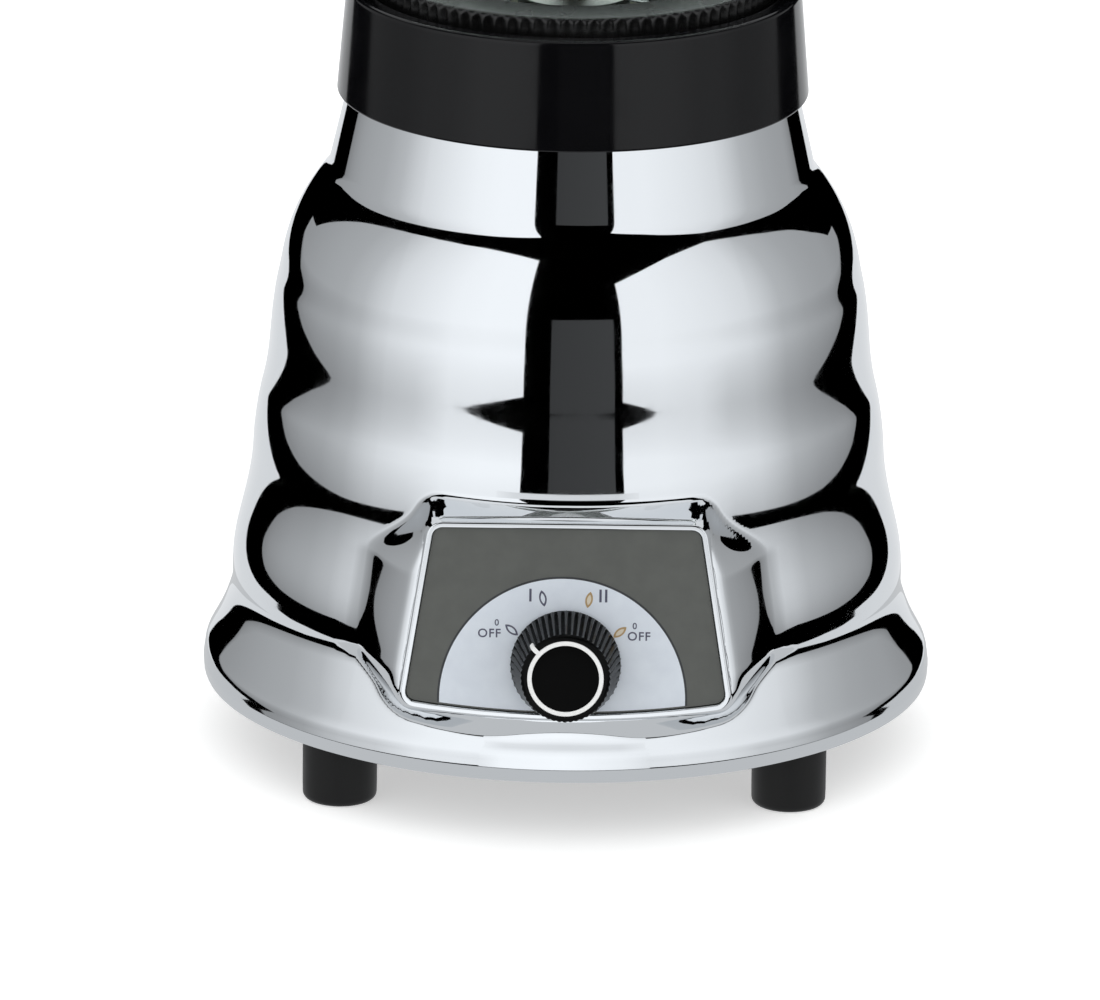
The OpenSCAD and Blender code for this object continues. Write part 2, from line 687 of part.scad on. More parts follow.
// ---- collar ----
module jar_collar() {
    lap_r = neck_top_d / 2 + loose / 2;
    color("#1c1c1c") difference() {
        union() {
            difference() {
                lathe([
                    [0, neck_top_z], [collar_low_d / 2 - 0.4, neck_top_z],
                    [collar_low_d / 2, neck_top_z + 0.5], [collar_top_d / 2, collar_top_z - 1.2],
                    [collar_top_d / 2 - 0.4, collar_top_z - 0.3],
                    [collar_top_d / 2 - 1.2, collar_top_z], [0, collar_top_z]
                ]);
                translate([0, 0, neck_top_z - 1]) cylinder(r = lap_r, h = collar_lap + 1);
                lathe([
                    [0, socket_z], [socket_r, socket_z], [socket_r, collar_top_z - 1],
                    [socket_r + 1, collar_top_z], [socket_r + 1, collar_top_z + 1],
                    [0, collar_top_z + 1]
                ]);
            }
            for (k = [0:collar_keys - 1]) rotate(360 / collar_keys * k + 45)
                translate([nut_d / 2 - nut_skirt_t / 2, -key_w / 2, socket_z - 0.5])
                    cube([nut_skirt_t / 2 + nut_gap + 1, key_w, key_h + 0.5]);
        }
        translate([0, 0, neck_top_z]) cylinder(d = collar_hole_d, h = collar_h);
        at_collar_screws() {
            translate([0, 0, socket_z - screw_head_h]) cylinder(d = screw_head_d + 1, h = 5);
            translate([0, 0, neck_top_z]) cylinder(d = screw_d + slide_gap, h = collar_h);
        }
    }
}
module collar_screws() {
    color("silver") at_collar_screws() translate([0, 0, socket_z - screw_head_h])
        rotate([180, 0, 0]) screw(10.5);
}
module shaft_seal() {
    color("#222222") translate([0, 0, deck_z - deck_t]) ring(shaft_r + 6, shaft_r + loose, deck_t);
}

// ---- motor, fixed pieces ----
module bar(length, width, h) {
    linear_extrude(h) polygon(rounded(box_points(length, width), [1, 1, 1, 1] * (width / 2 - 1)));
}
module upper_bracket() {
    boss_z = top_bearing_z + bearing_h;
    color("lightgray") difference() {
        union() {
            translate([0, 0, top_bracket_z]) bar(2 * bolt_x + 17, 30, bracket_t);
            translate([0, 0, top_bracket_z]) cylinder(r = bearing_boss_r, h = boss_z - top_bracket_z);
            at_bolts() translate([0, 0, stack_top_z]) cylinder(r = 6, h = spacer_h + 1);
        }
        translate([0, 0, top_bearing_z]) cylinder(d = bearing_d, h = bearing_h + 1);
        translate([0, 0, top_bracket_z - 1]) cylinder(r = shaft_r + 2, h = 20);
        at_bolts() translate([0, 0, stack_top_z - 1]) cylinder(r = bolt_r, h = 30);
    }
}
module lower_bracket() {
    boss_z = low_bearing_z;
    tower_h = brush_z - brush_tall / 2 - holder_t - low_bracket_z;
    color("lightgray") difference() {
        union() {
            translate([0, 0, low_bracket_z]) bar(2 * bolt_x + 17, 30, bracket_t);
            translate([0, 0, low_bracket_z]) rotate(90) bar(78, 16, bracket_t);
            translate([0, 0, boss_z]) cylinder(r = bearing_boss_r, h = bearing_h);
            at_bolts() translate([0, 0, low_bracket_z])
                cylinder(r = 6, h = stack_z - low_bracket_z);
            for (s = [-1, 1]) translate([-6, s * (holder_in_r + holder_len / 2 + 2) - 6, low_bracket_z])
                cube([12, 12, tower_h]);
        }
        translate([0, 0, boss_z - 1]) cylinder(d = bearing_d, h = bearing_h + 20);
        at_bolts() translate([0, 0, low_bracket_z - 1]) cylinder(r = bolt_r, h = 60);
    }
}
module motor_mounts() {
    color("black") at_bolts() translate([0, 0, post_z - mount_t]) ring(8, bolt_r, mount_t);
}
module motor_bolts() {
    head_h = 3.2;
    color("silver") at_bolts() translate([0, 0, low_bracket_z]) {
        translate([0, 0, -head_h]) cylinder(r = 4.6, h = head_h, $fn = 6);
        cylinder(r = bolt_r - running, h = post_z + 14 - low_bracket_z);
    }
}
module field_core() {
    shoe_deg = 58;
    shoe_t = 4;
    color("slategray") translate([0, 0, stack_z]) difference() {
        linear_extrude(stack_h) difference() {
            polygon(rounded(box_points(field_w, field_depth), [10, 10, 10, 10]));
            difference() {
                square([window_w, window_depth], center = true);
                for (s = [-1, 1]) {
                    translate([-pole_w / 2, s * window_depth / 4 + (s - 1) / 2 * window_depth / 2])
                        square([pole_w, window_depth / 2]);
                    intersection() {
                        circle(r = field_bore_r + shoe_t);
                        polygon([[0, 0], s * 60 * [sin(shoe_deg), cos(shoe_deg)],
                            s * 60 * [-sin(shoe_deg), cos(shoe_deg)]]);
                    }
                }
            }
            circle(r = field_bore_r);
        }
        at_bolts() translate([0, 0, -1]) cylinder(r = bolt_r, h = stack_h + 2);
    }
}
module field_coil(s) {
    pole_gap = 0.4;
    y_out = window_depth / 2 - pole_gap;
    y_in = field_bore_r + 4 + pole_gap;
    color("#8a4b2a") translate([0, s * (y_out + y_in) / 2, stack_z + stack_h / 2])
        rotate([90, 0, 0]) linear_extrude(y_out - y_in, center = true) difference() {
            polygon(rounded(box_points(pole_w + 2 * coil_t, coil_h), [6, 6, 6, 6]));
            square([pole_w + 2 * pole_gap, stack_h + 2 * pole_gap], center = true);
        }
}
module bearing(z) {
    color("#a97142") translate([0, 0, z]) ring(bearing_d / 2, shaft_r + running, bearing_h);
}
module facing(s) {
    rotate(s < 0 ? -90 : 90) children();
}
module brush_holder(s) {
    w = brush_w + 2 * holder_t;
    h = brush_tall + 2 * holder_t;
    color("goldenrod") facing(s) translate([holder_in_r, 0, brush_z]) difference() {
        translate([0, -w / 2, -h / 2]) cube([holder_len, w, h]);
        translate([-1, -brush_w / 2 - running, -brush_tall / 2 - running])
            cube([holder_len - holder_t + 1, brush_w + 2 * running, brush_tall + 2 * running]);
    }
}
module carbon_brush(s) {
    color("#2b2b2b") facing(s) difference() {
        translate([brush_in_r - 1, -brush_w / 2, brush_z - brush_tall / 2])
            cube([brush_len, brush_w, brush_tall]);
        translate([0, 0, brush_z - brush_tall]) cylinder(r = brush_in_r, h = 2 * brush_tall);
    }
}
module brush_spring(s) {
    from = brush_in_r - 1 + brush_len;
    to = holder_in_r + holder_len - holder_t;
    turns = 5;
    wire = 0.5;
    pitch = (to - from - 2 * wire) / (turns - 1);
    color("silver") facing(s) translate([from + wire, 0, brush_z]) rotate([0, 90, 0]) {
        for (k = [0:turns - 1]) translate([0, 0, k * pitch])
            rotate_extrude($fn = 32) translate([2, 0]) circle(r = wire, $fn = 16);
        for (k = [0:turns - 2]) rotate(k * 180) translate([2, 0, k * pitch])
            cylinder(r = wire * 0.8, h = pitch, $fn = 16);
    }
}
module noise_capacitor() {
    color("#2f4f7a") translate([-24, 62, bottom_top_z]) {
        linear_extrude(13) polygon(rounded(box_points(26, 14), [2, 2, 2, 2], 3));
        for (s = [-1, 1]) translate([s * 8, 0, 12]) cylinder(r = 0.6, h = 6);
    }
}
module motor_leads() {
    r = 1.2;
    coil_z = stack_z - winding_h;
    coil_y = -window_depth / 2 + 3.4;
    holder_out = holder_in_r + holder_len;
    color("firebrick") {
        rod([[9, -66, knob_z - 8], [9, -60, knob_z + 2], [12, -48, coil_z - 10],
            [12, coil_y, coil_z - 4], [12, coil_y, coil_z]], r);
        rod([[-9, -66, knob_z - 8], [-9, -60, knob_z + 2], [0, -52, brush_z],
            [0, -holder_out, brush_z]], r);
        rod([[0, holder_out, brush_z], [0, 46, brush_z], [12, 46, coil_z - 6],
            [12, -coil_y, coil_z - 4], [12, -coil_y, coil_z]], r);
    }
}

// ---- rotor ----
module motor_shaft() {
    color("silver") translate([0, 0, shaft_low_z])
        cylinder(r = shaft_r, h = stud_top_z - 2.5 - shaft_low_z);
}
module armature_core() {
    color("slategray") translate([0, 0, stack_z]) linear_extrude(stack_h) difference() {
        circle(r = armature_r);
        circle(r = shaft_r);
        for (k = [0:slots - 1]) rotate(360 / slots * k)
            translate([slot_in_r, -slot_w / 2]) square([armature_r, slot_w]);
    }
}
module armature_windings() {
    slack = 0.2;
    color("#b5652d") difference() {
        union() {
            for (z = [stack_z - winding_h, stack_top_z]) translate([0, 0, z])
                ring(armature_r - 3, shaft_r + 2, winding_h);
            for (k = [0:slots - 1]) rotate(360 / slots * k)
                translate([slot_in_r + slack, -slot_w / 2 + slack, stack_z - 1])
                    cube([armature_r - slot_in_r - 3.4, slot_w - 2 * slack, stack_h + 2]);
        }
        for (s = [-1, 1]) translate([0, 0, s < 0 ? stack_z - winding_h : stack_top_z + winding_h])
            rotate_extrude() translate([armature_r - 3, 0]) circle(r = 3, $fn = 24);
    }
}
module commutator() {
    groove = 0.6;
    bars = 24;
    color("#c77b3f") difference() {
        union() {
            translate([0, 0, commutator_z]) cylinder(d = commutator_d, h = commutator_h);
            translate([0, 0, commutator_top_z - 0.5]) cylinder(r = commutator_d / 2 + 1, h = 3);
        }
        translate([0, 0, commutator_z - 1]) cylinder(r = shaft_r, h = commutator_h + 6);
        for (k = [0:bars - 1]) rotate(360 / bars * k)
            translate([commutator_d / 2 - 0.7, -groove / 2, commutator_z - 1])
                cube([3, groove, commutator_h + 6]);
    }
}
module cooling_fan() {
    hub_r = shaft_r + 5;
    disc_t = 1.8;
    color("#30343a") translate([0, 0, fan_z]) difference() {
        union() {
            cylinder(r = hub_r, h = fan_h);
            translate([0, 0, fan_h - disc_t]) cylinder(d = fan_d, h = disc_t);
            for (k = [0:fan_blades - 1]) rotate(360 / fan_blades * k)
                translate([hub_r - 1, 0, 1]) rotate(18)
                    cube([fan_d / 2 - hub_r - 5, 1.8, fan_h - disc_t - 0.5]);
        }
        translate([0, 0, -1]) cylinder(r = shaft_r, h = fan_h + 2);
    }
}
module thrust_washers() {
    t = 1;
    color("tan") {
        translate([0, 0, top_bearing_z - 2.4]) ring(shaft_r + 1.6, shaft_r, t);
        translate([0, 0, low_bearing_z + bearing_h + 0.4]) ring(shaft_r + 3, shaft_r, t);
    }
}
module slinger() {
    color("black") translate([0, 0, deck_z + 0.5]) difference() {
        union() {
            cylinder(r = shaft_r + 3.2, h = stud_z - deck_z - 0.5);
            translate([0, 0, 0.8]) cylinder(d = collar_hole_d - 4, h = 1.4);
        }
        translate([0, 0, -1]) cylinder(r = shaft_r, h = 10);
    }
}
module drive_stud() {
    color("silver") translate([0, 0, stud_z]) difference() {
        linear_extrude(stud_h) polygon(rounded(box_points(stud_af, stud_af), [1, 1, 1, 1] * 1.6));
        translate([0, 0, -1]) cylinder(r = shaft_r, h = stud_h - 2.5 + 1);
    }
}

// ---- cutter unit ----
module jar_nut() {
    r = nut_d / 2;
    per_rib = 6;
    count = nut_ribs * per_rib;
    notch_w = key_w + 2 * slide_gap;
    color("#161616") difference() {
        union() {
            translate([0, 0, nut_z]) linear_extrude(nut_h) difference() {
                polygon([for (k = [0:count - 1]) let (a = 360 / count * k,
                    q = r - nut_rib_h * (k % per_rib < 3 ? 0 : 1)) q * [cos(a), sin(a)]]);
                circle(r = r - nut_skirt_t);
            }
            lathe([
                [ledge_r, nut_z], [sleeve_r + nut_sleeve_t, nut_z],
                [sleeve_r + nut_sleeve_t, nut_top_z - 4], [r - nut_skirt_t + 0.5, nut_top_z - 4],
                [r - nut_skirt_t + 0.5, nut_top_z - 0.6], [sleeve_r, nut_top_z],
                [sleeve_r, carrier_z], [ledge_r, carrier_z]
            ]);
        }
        for (k = [0:collar_keys - 1]) rotate(360 / collar_keys * k + 45)
            translate([r - nut_skirt_t / 2 - slide_gap, -notch_w / 2, nut_z - 1])
                cube([10, notch_w, key_h + 1 + slide_gap]);
    }
}
module cutter_carrier() {
    cavity_r = socket_d / 2 + 1;
    color("silver") lathe([
        [cavity_r, carrier_z], [carrier_r, carrier_z], [carrier_r, gasket_z],
        [cavity_r + 5, gasket_z], [cavity_r + 2.4, gasket_z + 2.6],
        [cavity_r + 2, hub_roof_z + 1], [bush_r + 4.4, hub_roof_z + 5],
        [bush_r + 3.6, bush_top_z], [bush_r, bush_top_z], [bush_r, hub_roof_z],
        [cavity_r, hub_roof_z]
    ]);
}
module jar_gasket() {
    color("#d8d0c0") translate([0, 0, gasket_z]) ring(jar_foot_d / 2 - loose, foot_in_r, gasket_t);
}
module cutter_bush() {
    shaft_hole_r = blade_shaft_d / 2 + running;
    color("#a97142") lathe([
        [shaft_hole_r, hub_roof_z + 0.2], [bush_r, hub_roof_z + 0.2], [bush_r, bush_top_z],
        [bush_r + 1.4, bush_top_z], [bush_r + 1.4, bush_top_z + bush_flange_t],
        [shaft_hole_r, bush_top_z + bush_flange_t]
    ]);
}
module jar_coupling() {
    fit_af = stud_af + 2 * loose;
    color("#3a3a3c") difference() {
        translate([0, 0, coupling_z]) cylinder(d = socket_d, h = coupling_top_z - coupling_z);
        translate([0, 0, coupling_z - 1]) linear_extrude(recess_top_z - coupling_z + 1)
            polygon(rounded(box_points(fit_af, fit_af), [1, 1, 1, 1] * 1.6));
        translate([0, 0, recess_top_z - 1]) cylinder(d = blade_shaft_d, h = 10);
    }
}
module blade_shaft() {
    color("silver") translate([0, 0, recess_top_z + 0.3])
        cylinder(d = blade_shaft_d, h = blade_nut_z + blade_nut_h - 1.5 - recess_top_z - 0.3);
}
module thrust_washer() {
    color("#e8e4d8") translate([0, 0, washer_z]) ring(blade_root_r - 0.3, blade_shaft_d / 2, washer_t);
}
// A stamped blade: a hub disc and two wings, bent by an angle above or below the disc
module blade(z, bend, turn) {
    span = (blade_reach - blade_root_r) / cos(bend);
    color("silver") translate([0, 0, z]) rotate(turn) difference() {
        union() {
            cylinder(r = blade_hub_r, h = blade_t);
            for (a = [0, 180]) rotate(a) translate([blade_root_r, 0, 0]) rotate([0, -bend, 0])
                linear_extrude(blade_t) polygon([
                    [0, -6], [span * 0.8, -4.4], [span - 1, 0.8], [span * 0.55, 5.2], [0, 6]
                ]);
        }
        translate([0, 0, -20]) cylinder(d = blade_shaft_d, h = 40);
    }
}
module lower_blade() {
    blade(lower_blade_z, -blade_down_deg, 90);
}
module upper_blade() {
    blade(upper_blade_z, blade_up_deg, 0);
}
module blade_nut() {
    color("silver") translate([0, 0, blade_nut_z]) difference() {
        union() {
            cylinder(r = blade_root_r - 0.1, h = blade_nut_h - 1, $fn = 6);
            cylinder(r = blade_root_r - 1.1, h = blade_nut_h);
        }
        translate([0, 0, -1]) cylinder(d = blade_shaft_d, h = blade_nut_h - 1.5 + 1);
    }
}

// ---- jar, lid and cap ----
module jar_cavity() {
    lathe(concat(
        [[0, jar_z - 1], [foot_in_r, jar_z - 1], [foot_in_r, jar_z + jar_foot_h + 2]],
        [for (p = jar_flare) [p[0] - glass_t, p[1] + (p[1] > jar_top_z - 1 ? 1 : 0)]],
        [[0, jar_top_z + 1]]));
}
module jar_handle() {
    top = jar_top_z - handle_drop;
    low = top - handle_h;
    in_x = jar_low_d / 2 - 2;
    slope = 0.06;
    tip = handle_reach;
    foot_x = tip - slope * handle_h;
    gap_top = jar_mouth_d / 2 + 3;
    rotate([90, 0, 0]) translate([0, 0, -handle_w / 2]) linear_extrude(handle_w) difference() {
        polygon(rounded([[in_x, low], [foot_x, low], [tip, top], [in_x, top]], [0, 24, 24, 0], 8));
        polygon(rounded([
            [jar_low_d / 2 + 8, low + handle_t], [foot_x - handle_t, low + handle_t],
            [tip - handle_t, top - handle_t], [gap_top, top - handle_t]
        ], [4, 12, 12, 4], 6));
    }
}
module spout_cone(grow) {
    lean = 26;
    translate([-spout_reach + 15 - grow * 0.2, 0, jar_top_z + 2]) rotate([0, -lean, 0])
        translate([0, 0, -46]) cylinder(r1 = 4 + grow, r2 = 14 + grow, h = 60);
}
module jar_glass() {
    bead = 1.4;
    color("lightcyan", 0.4) difference() {
        union() {
            lathe(concat(
                [[0, jar_z], [jar_foot_d / 2 - 0.6, jar_z], [jar_foot_d / 2, jar_z + 0.8],
                    [jar_foot_d / 2, jar_z + jar_foot_h], [jar_foot_d / 2 + 3, jar_z + jar_foot_h + 3]],
                [for (k = [0:len(jar_flare) - 2]) jar_flare[k]],
                [[jar_mouth_d / 2 + bead, jar_top_z - 6.5], [jar_mouth_d / 2 + bead, jar_top_z - 1.5],
                    [jar_mouth_d / 2 + bead - 1.4, jar_top_z], [0, jar_top_z]]));
            jar_handle();
            intersection() {
                spout_cone(0);
                translate([-100, -50, jar_top_z - 60]) cube([100, 100, 60]);
            }
        }
        jar_cavity();
        spout_cone(-glass_t * 0.8);
    }
}
module jar_lid() {
    plug_z = jar_top_z - lid_plug_h;
    edge = 1.6;
    color("#1a1a1a") difference() {
        union() {
            lathe([
                [0, lid_z], [lid_d / 2 - 0.6, lid_z], [lid_d / 2, lid_z + 0.8],
                [lid_d / 2, lid_top_z - edge], [lid_d / 2 - edge, lid_top_z], [0, lid_top_z]
            ]);
            translate([0, 0, plug_z]) cylinder(r = plug_r, h = lid_z - plug_z + 1);
            translate([0, -lid_d / 2 - 2, lid_z + 1]) linear_extrude(lid_t - 2)
                polygon(rounded([[15, 8], [-15, 8], [-11, -8], [11, -8]], [0, 0, 5, 5]));
        }
        difference() {
            translate([0, 0, plug_z - 1]) cylinder(r = plug_r - lid_plug_t, h = lid_z - plug_z + 1.5);
            translate([0, 0, plug_z - 2]) cylinder(d = filler_d + 2 * lid_plug_t, h = 30);
        }
        translate([0, 0, plug_z - 3]) cylinder(d = filler_d, h = 60);
    }
}
module filler_cap() {
    low = lid_top_z - cap_depth;
    top = cap_z + cap_h;
    color("#c9ced2", 0.6) difference() {
        lathe([
            [0, low], [cap_r - 0.6, low], [cap_r, low + 0.8], [cap_r, cap_z], [cap_flange_r, cap_z],
            [cap_flange_r, cap_z + 3], [cap_r - 2, cap_z + 5], [cap_r - 3.5, top - 2],
            [cap_r - 5.5, top], [0, top]
        ]);
        translate([0, 0, low - 1]) cylinder(r = cap_r - cap_t - 3.5, h = top - low - cap_t + 1);
    }
}

housing();
bottom_plate();
foot_at(225);  // foot_front_left
foot_at(315);  // foot_front_right
foot_at(135);  // foot_rear_left
foot_at(45);  // foot_rear_right
foot_screws();
cord_grommet();
dial_plate();
speed_switch();
switch_nut();
speed_diode();
jar_collar();
collar_screws();
shaft_seal();
upper_bracket();
lower_bracket();
motor_mounts();
motor_bolts();
field_core();
field_coil(-1);  // field_coil_front
field_coil(1);  // field_coil_rear
bearing(top_bearing_z);  // upper_bearing
bearing(low_bearing_z);  // lower_bearing
brush_holder(-1);  // brush_holder_front
brush_holder(1);  // brush_holder_rear
carbon_brush(-1);  // carbon_brush_front
carbon_brush(1);  // carbon_brush_rear
brush_spring(-1);  // brush_spring_front
brush_spring(1);  // brush_spring_rear
noise_capacitor();
motor_leads();
motor_shaft();
armature_core();
armature_windings();
commutator();
cooling_fan();
thrust_washers();
slinger();
drive_stud();
knob();
pointer_ring();
knob_disc();
switch_shaft();
jar_nut();
cutter_carrier();
jar_gasket();
cutter_bush();
jar_coupling();
blade_shaft();
thrust_washer();
lower_blade();
upper_blade();
blade_nut();
jar_glass();
jar_lid();
filler_cap();
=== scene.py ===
import json
import math
import bpy
import bmesh
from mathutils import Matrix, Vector


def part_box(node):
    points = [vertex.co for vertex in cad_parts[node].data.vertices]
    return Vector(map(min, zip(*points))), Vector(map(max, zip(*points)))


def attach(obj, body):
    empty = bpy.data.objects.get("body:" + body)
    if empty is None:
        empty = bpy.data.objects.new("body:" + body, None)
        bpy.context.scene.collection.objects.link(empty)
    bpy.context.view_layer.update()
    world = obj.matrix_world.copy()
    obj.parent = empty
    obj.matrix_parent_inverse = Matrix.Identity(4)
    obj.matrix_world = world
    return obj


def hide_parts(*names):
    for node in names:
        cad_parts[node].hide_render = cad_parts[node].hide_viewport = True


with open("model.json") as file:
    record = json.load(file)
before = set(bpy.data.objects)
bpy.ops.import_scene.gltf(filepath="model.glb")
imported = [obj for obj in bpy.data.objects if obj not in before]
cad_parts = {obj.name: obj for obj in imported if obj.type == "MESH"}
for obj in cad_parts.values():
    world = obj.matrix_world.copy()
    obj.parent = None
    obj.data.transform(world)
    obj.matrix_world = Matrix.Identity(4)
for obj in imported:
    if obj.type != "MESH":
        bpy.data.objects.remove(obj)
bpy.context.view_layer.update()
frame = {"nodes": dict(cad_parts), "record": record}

mm = 0.001
scene = bpy.context.scene
print("frame loaded:", len(frame["nodes"]), "nodes")


# ------- small helpers -------

def linear(hexColour):
    # sRGB hex to the linear colour a socket takes
    out = []
    for k in (1, 3, 5):
        c = int(hexColour[k:k + 2], 16) / 255
        out.append(c / 12.92 if c <= 0.04045 else ((c + 0.055) / 1.055) ** 2.4)
    return (*out, 1)


def addNode(tree, kind, settings=None, links=None):
    # settings go to sockets where the name is one, and to the node's own options otherwise
    node = tree.nodes.new(kind)
    for name, value in (settings or {}).items():
        if isinstance(name, int) or name in node.inputs:
            node.inputs[name].default_value = value
        else:
            setattr(node, name, value)
    for name, source in (links or {}).items():
        tree.links.new(source, node.inputs[name])
    return node


def blankTree(owner):
    owner.use_nodes = True
    owner.node_tree.nodes.clear()
    return owner.node_tree


def startMaterial(name, sockets):
    # a cleared material with its shader and its coordinates
    mat = bpy.data.materials.new(name)
    tree = blankTree(mat)
    shader = addNode(tree, "ShaderNodeBsdfPrincipled", sockets)
    addNode(tree, "ShaderNodeOutputMaterial", {}, {"Surface": shader.outputs[0]})
    coords = addNode(tree, "ShaderNodeTexCoord")
    return mat, tree, shader, coords.outputs["Object"]


def grains(tree, size, detail, coords):
    # noise whose grains are about size millimetres across
    return addNode(tree, "ShaderNodeTexNoise", {"Scale": 1 / (size * mm), "Detail": detail},
                   {"Vector": coords})


def twoTone(tree, source, base, tint, low=0.0, high=1.0):
    ramp = addNode(tree, "ShaderNodeValToRGB", {}, {"Fac": source.outputs["Fac"]})
    for stop, place, colour in zip(ramp.color_ramp.elements, (low, high), (base, tint)):
        stop.position = place
        stop.color = linear(colour)
    return ramp.outputs["Color"]


def roughBetween(tree, source, rough, low=0.0, high=1.0):
    level = addNode(tree, "ShaderNodeMapRange", {"From Min": low, "From Max": high, "To Min": rough[0],
                                                 "To Max": rough[1]}, {"Value": source.outputs["Fac"]})
    return level.outputs["Result"]


def bumpFrom(tree, height, strength, depth):
    # depth in millimetres
    bump = addNode(tree, "ShaderNodeBump", {"Strength": strength, "Distance": depth * mm},
                   {"Height": height.outputs["Fac"]})
    return bump.outputs["Normal"]


def joinSockets(tree, shader, links):
    for name, source in links.items():
        tree.links.new(source, shader.inputs[name])


def meshFrom(name, bm):
    mesh = bpy.data.meshes.new(name)
    bm.to_mesh(mesh)
    bm.free()
    return mesh


def linked(name, data):
    obj = bpy.data.objects.new(name, data)
    scene.collection.objects.link(obj)
    return obj


def bakedMesh(obj):
    bpy.context.view_layer.update()
    return bpy.data.meshes.new_from_object(obj.evaluated_get(bpy.context.evaluated_depsgraph_get()))


def finishPiece(name, bm, body, materials, sharp=40, nodes=()):
    # the mesh is drawn in millimetres; doubles go first, then the normals turn outwards
    bmesh.ops.remove_doubles(bm, verts=bm.verts[:], dist=0.003)
    bmesh.ops.recalc_face_normals(bm, faces=bm.faces[:])
    bmesh.ops.scale(bm, vec=(mm, mm, mm), verts=bm.verts[:])
    mesh = meshFrom(name, bm)
    for mat in materials:
        mesh.materials.append(mat)
    mesh.shade_smooth()
    mesh.set_sharp_from_angle(angle=math.radians(sharp))
    obj = linked(name, mesh)
    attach(obj, body)
    if nodes:
        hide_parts(*nodes)
    return obj


def softCorners(corners, closed=True, steps=5, flats=True):
    # (x, y, radius) corners; a corner with a radius becomes an arc, and with flats a point beside each
    # end of it keeps the straight stretches flat to the eye
    out = []
    for i, (x, y, radius) in enumerate(corners):
        here = Vector((x, y))
        if radius == 0 or (not closed and i in (0, len(corners) - 1)):
            out.append(here)
            continue
        back = (Vector(corners[i - 1][:2]) - here).normalized()
        ahead = (Vector(corners[(i + 1) % len(corners)][:2]) - here).normalized()
        half = back.angle(ahead) / 2
        hub = here + (back + ahead).normalized() * (radius / math.sin(half))
        first = here + back * (radius / math.tan(half)) - hub
        last = here + ahead * (radius / math.tan(half)) - hub
        start = math.atan2(first.y, first.x)
        turn = (math.atan2(last.y, last.x) - start + math.pi) % (2 * math.pi) - math.pi
        if flats:
            out.append(hub + first + back * (0.12 * radius))
        for k in range(steps + 1):
            a = start + turn * k / steps
            out.append(hub + radius * Vector((math.cos(a), math.sin(a))))
        if flats:
            out.append(hub + last + ahead * (0.12 * radius))
    return out


def lathe(bm, profile, steps=192, closed=False, start=0.0, turn=360.0):
    # spins (radius, height) points about the Z axis
    a = math.radians(start)
    verts = [bm.verts.new((r * math.cos(a), r * math.sin(a), z)) for r, z in profile]
    edges = [bm.edges.new(pair) for pair in zip(verts, verts[1:])]
    if closed:
        edges.append(bm.edges.new((verts[-1], verts[0])))
    return bmesh.ops.spin(bm, geom=verts + edges, cent=(0, 0, 0), axis=(0, 0, 1),
                          angle=math.radians(turn), steps=steps, use_merge=turn == 360)


def loopOf(bm, points):
    # a closed loop of edges through 3-D points
    verts = [bm.verts.new(p) for p in points]
    return [bm.edges.new((verts[k - 1], verts[k])) for k in range(len(verts))]


def bridgeLoops(bm, loops, closed=False):
    pairs = list(zip(loops, loops[1:])) + ([(loops[-1], loops[0])] if closed else [])
    for a, b in pairs:
        bmesh.ops.bridge_loops(bm, edges=a + b)


def smoothStep(t):
    t = min(max(t, 0.0), 1.0)
    return t * t * (3 - 2 * t)


def softRamp(t, bend=0.22):
    # a straight ramp from 0 to 1 with its two ends rounded
    t = min(max(t, 0.0), 1.0)
    if t < bend:
        return t * t / 2 / bend / (1 - bend)
    if t > 1 - bend:
        return 1 - (1 - t) * (1 - t) / 2 / bend / (1 - bend)
    return (t - bend / 2) / (1 - bend)


# ------- materials -------

def chromePlate():
    # chromium plate on a polished zinc casting: a mirror with the casting's faint swell left in it
    mat, tree, shader, coords = startMaterial("chromePlate", {
        "Base Color": linear("#E6E9EC"), "Metallic": 1.0})
    swell = grains(tree, 38, 1.0, coords)
    haze = grains(tree, 3, 5.0, coords)
    joinSockets(tree, shader, {"Roughness": roughBetween(tree, haze, (0.025, 0.055), 0.35, 0.75),
                               "Normal": bumpFrom(tree, swell, 0.12, 0.4)})
    return mat


def mouldedPlastic(name, base, tint, rough, grain, bumpDepth, specular=0.5):
    # moulded plastic or rubber: one colour, a soft sheen and a very fine mould grain
    mat, tree, shader, coords = startMaterial(name, {"Specular IOR Level": specular, "IOR": 1.5})
    cloud = grains(tree, 14, 3.0, coords)
    grit = grains(tree, grain, 2.0, coords)
    joinSockets(tree, shader, {"Base Color": twoTone(tree, cloud, base, tint),
                               "Roughness": roughBetween(tree, cloud, rough, 0.3, 0.7),
                               "Normal": bumpFrom(tree, grit, 0.25, bumpDepth)})
    return mat


def printedPaint(name, base, tint, rough=0.45):
    # screen-printed enamel on aluminium: flat colour with a slight mottle and ink texture
    mat, tree, shader, coords = startMaterial(name, {"IOR": 1.5})
    mottle = grains(tree, 5, 4.0, coords)
    ink = grains(tree, 0.35, 2.0, coords)
    joinSockets(tree, shader, {"Base Color": twoTone(tree, mottle, base, tint, 0.35, 0.7),
                               "Roughness": roughBetween(tree, mottle, (rough - 0.08, rough + 0.08)),
                               "Normal": bumpFrom(tree, ink, 0.2, 0.02)})
    return mat


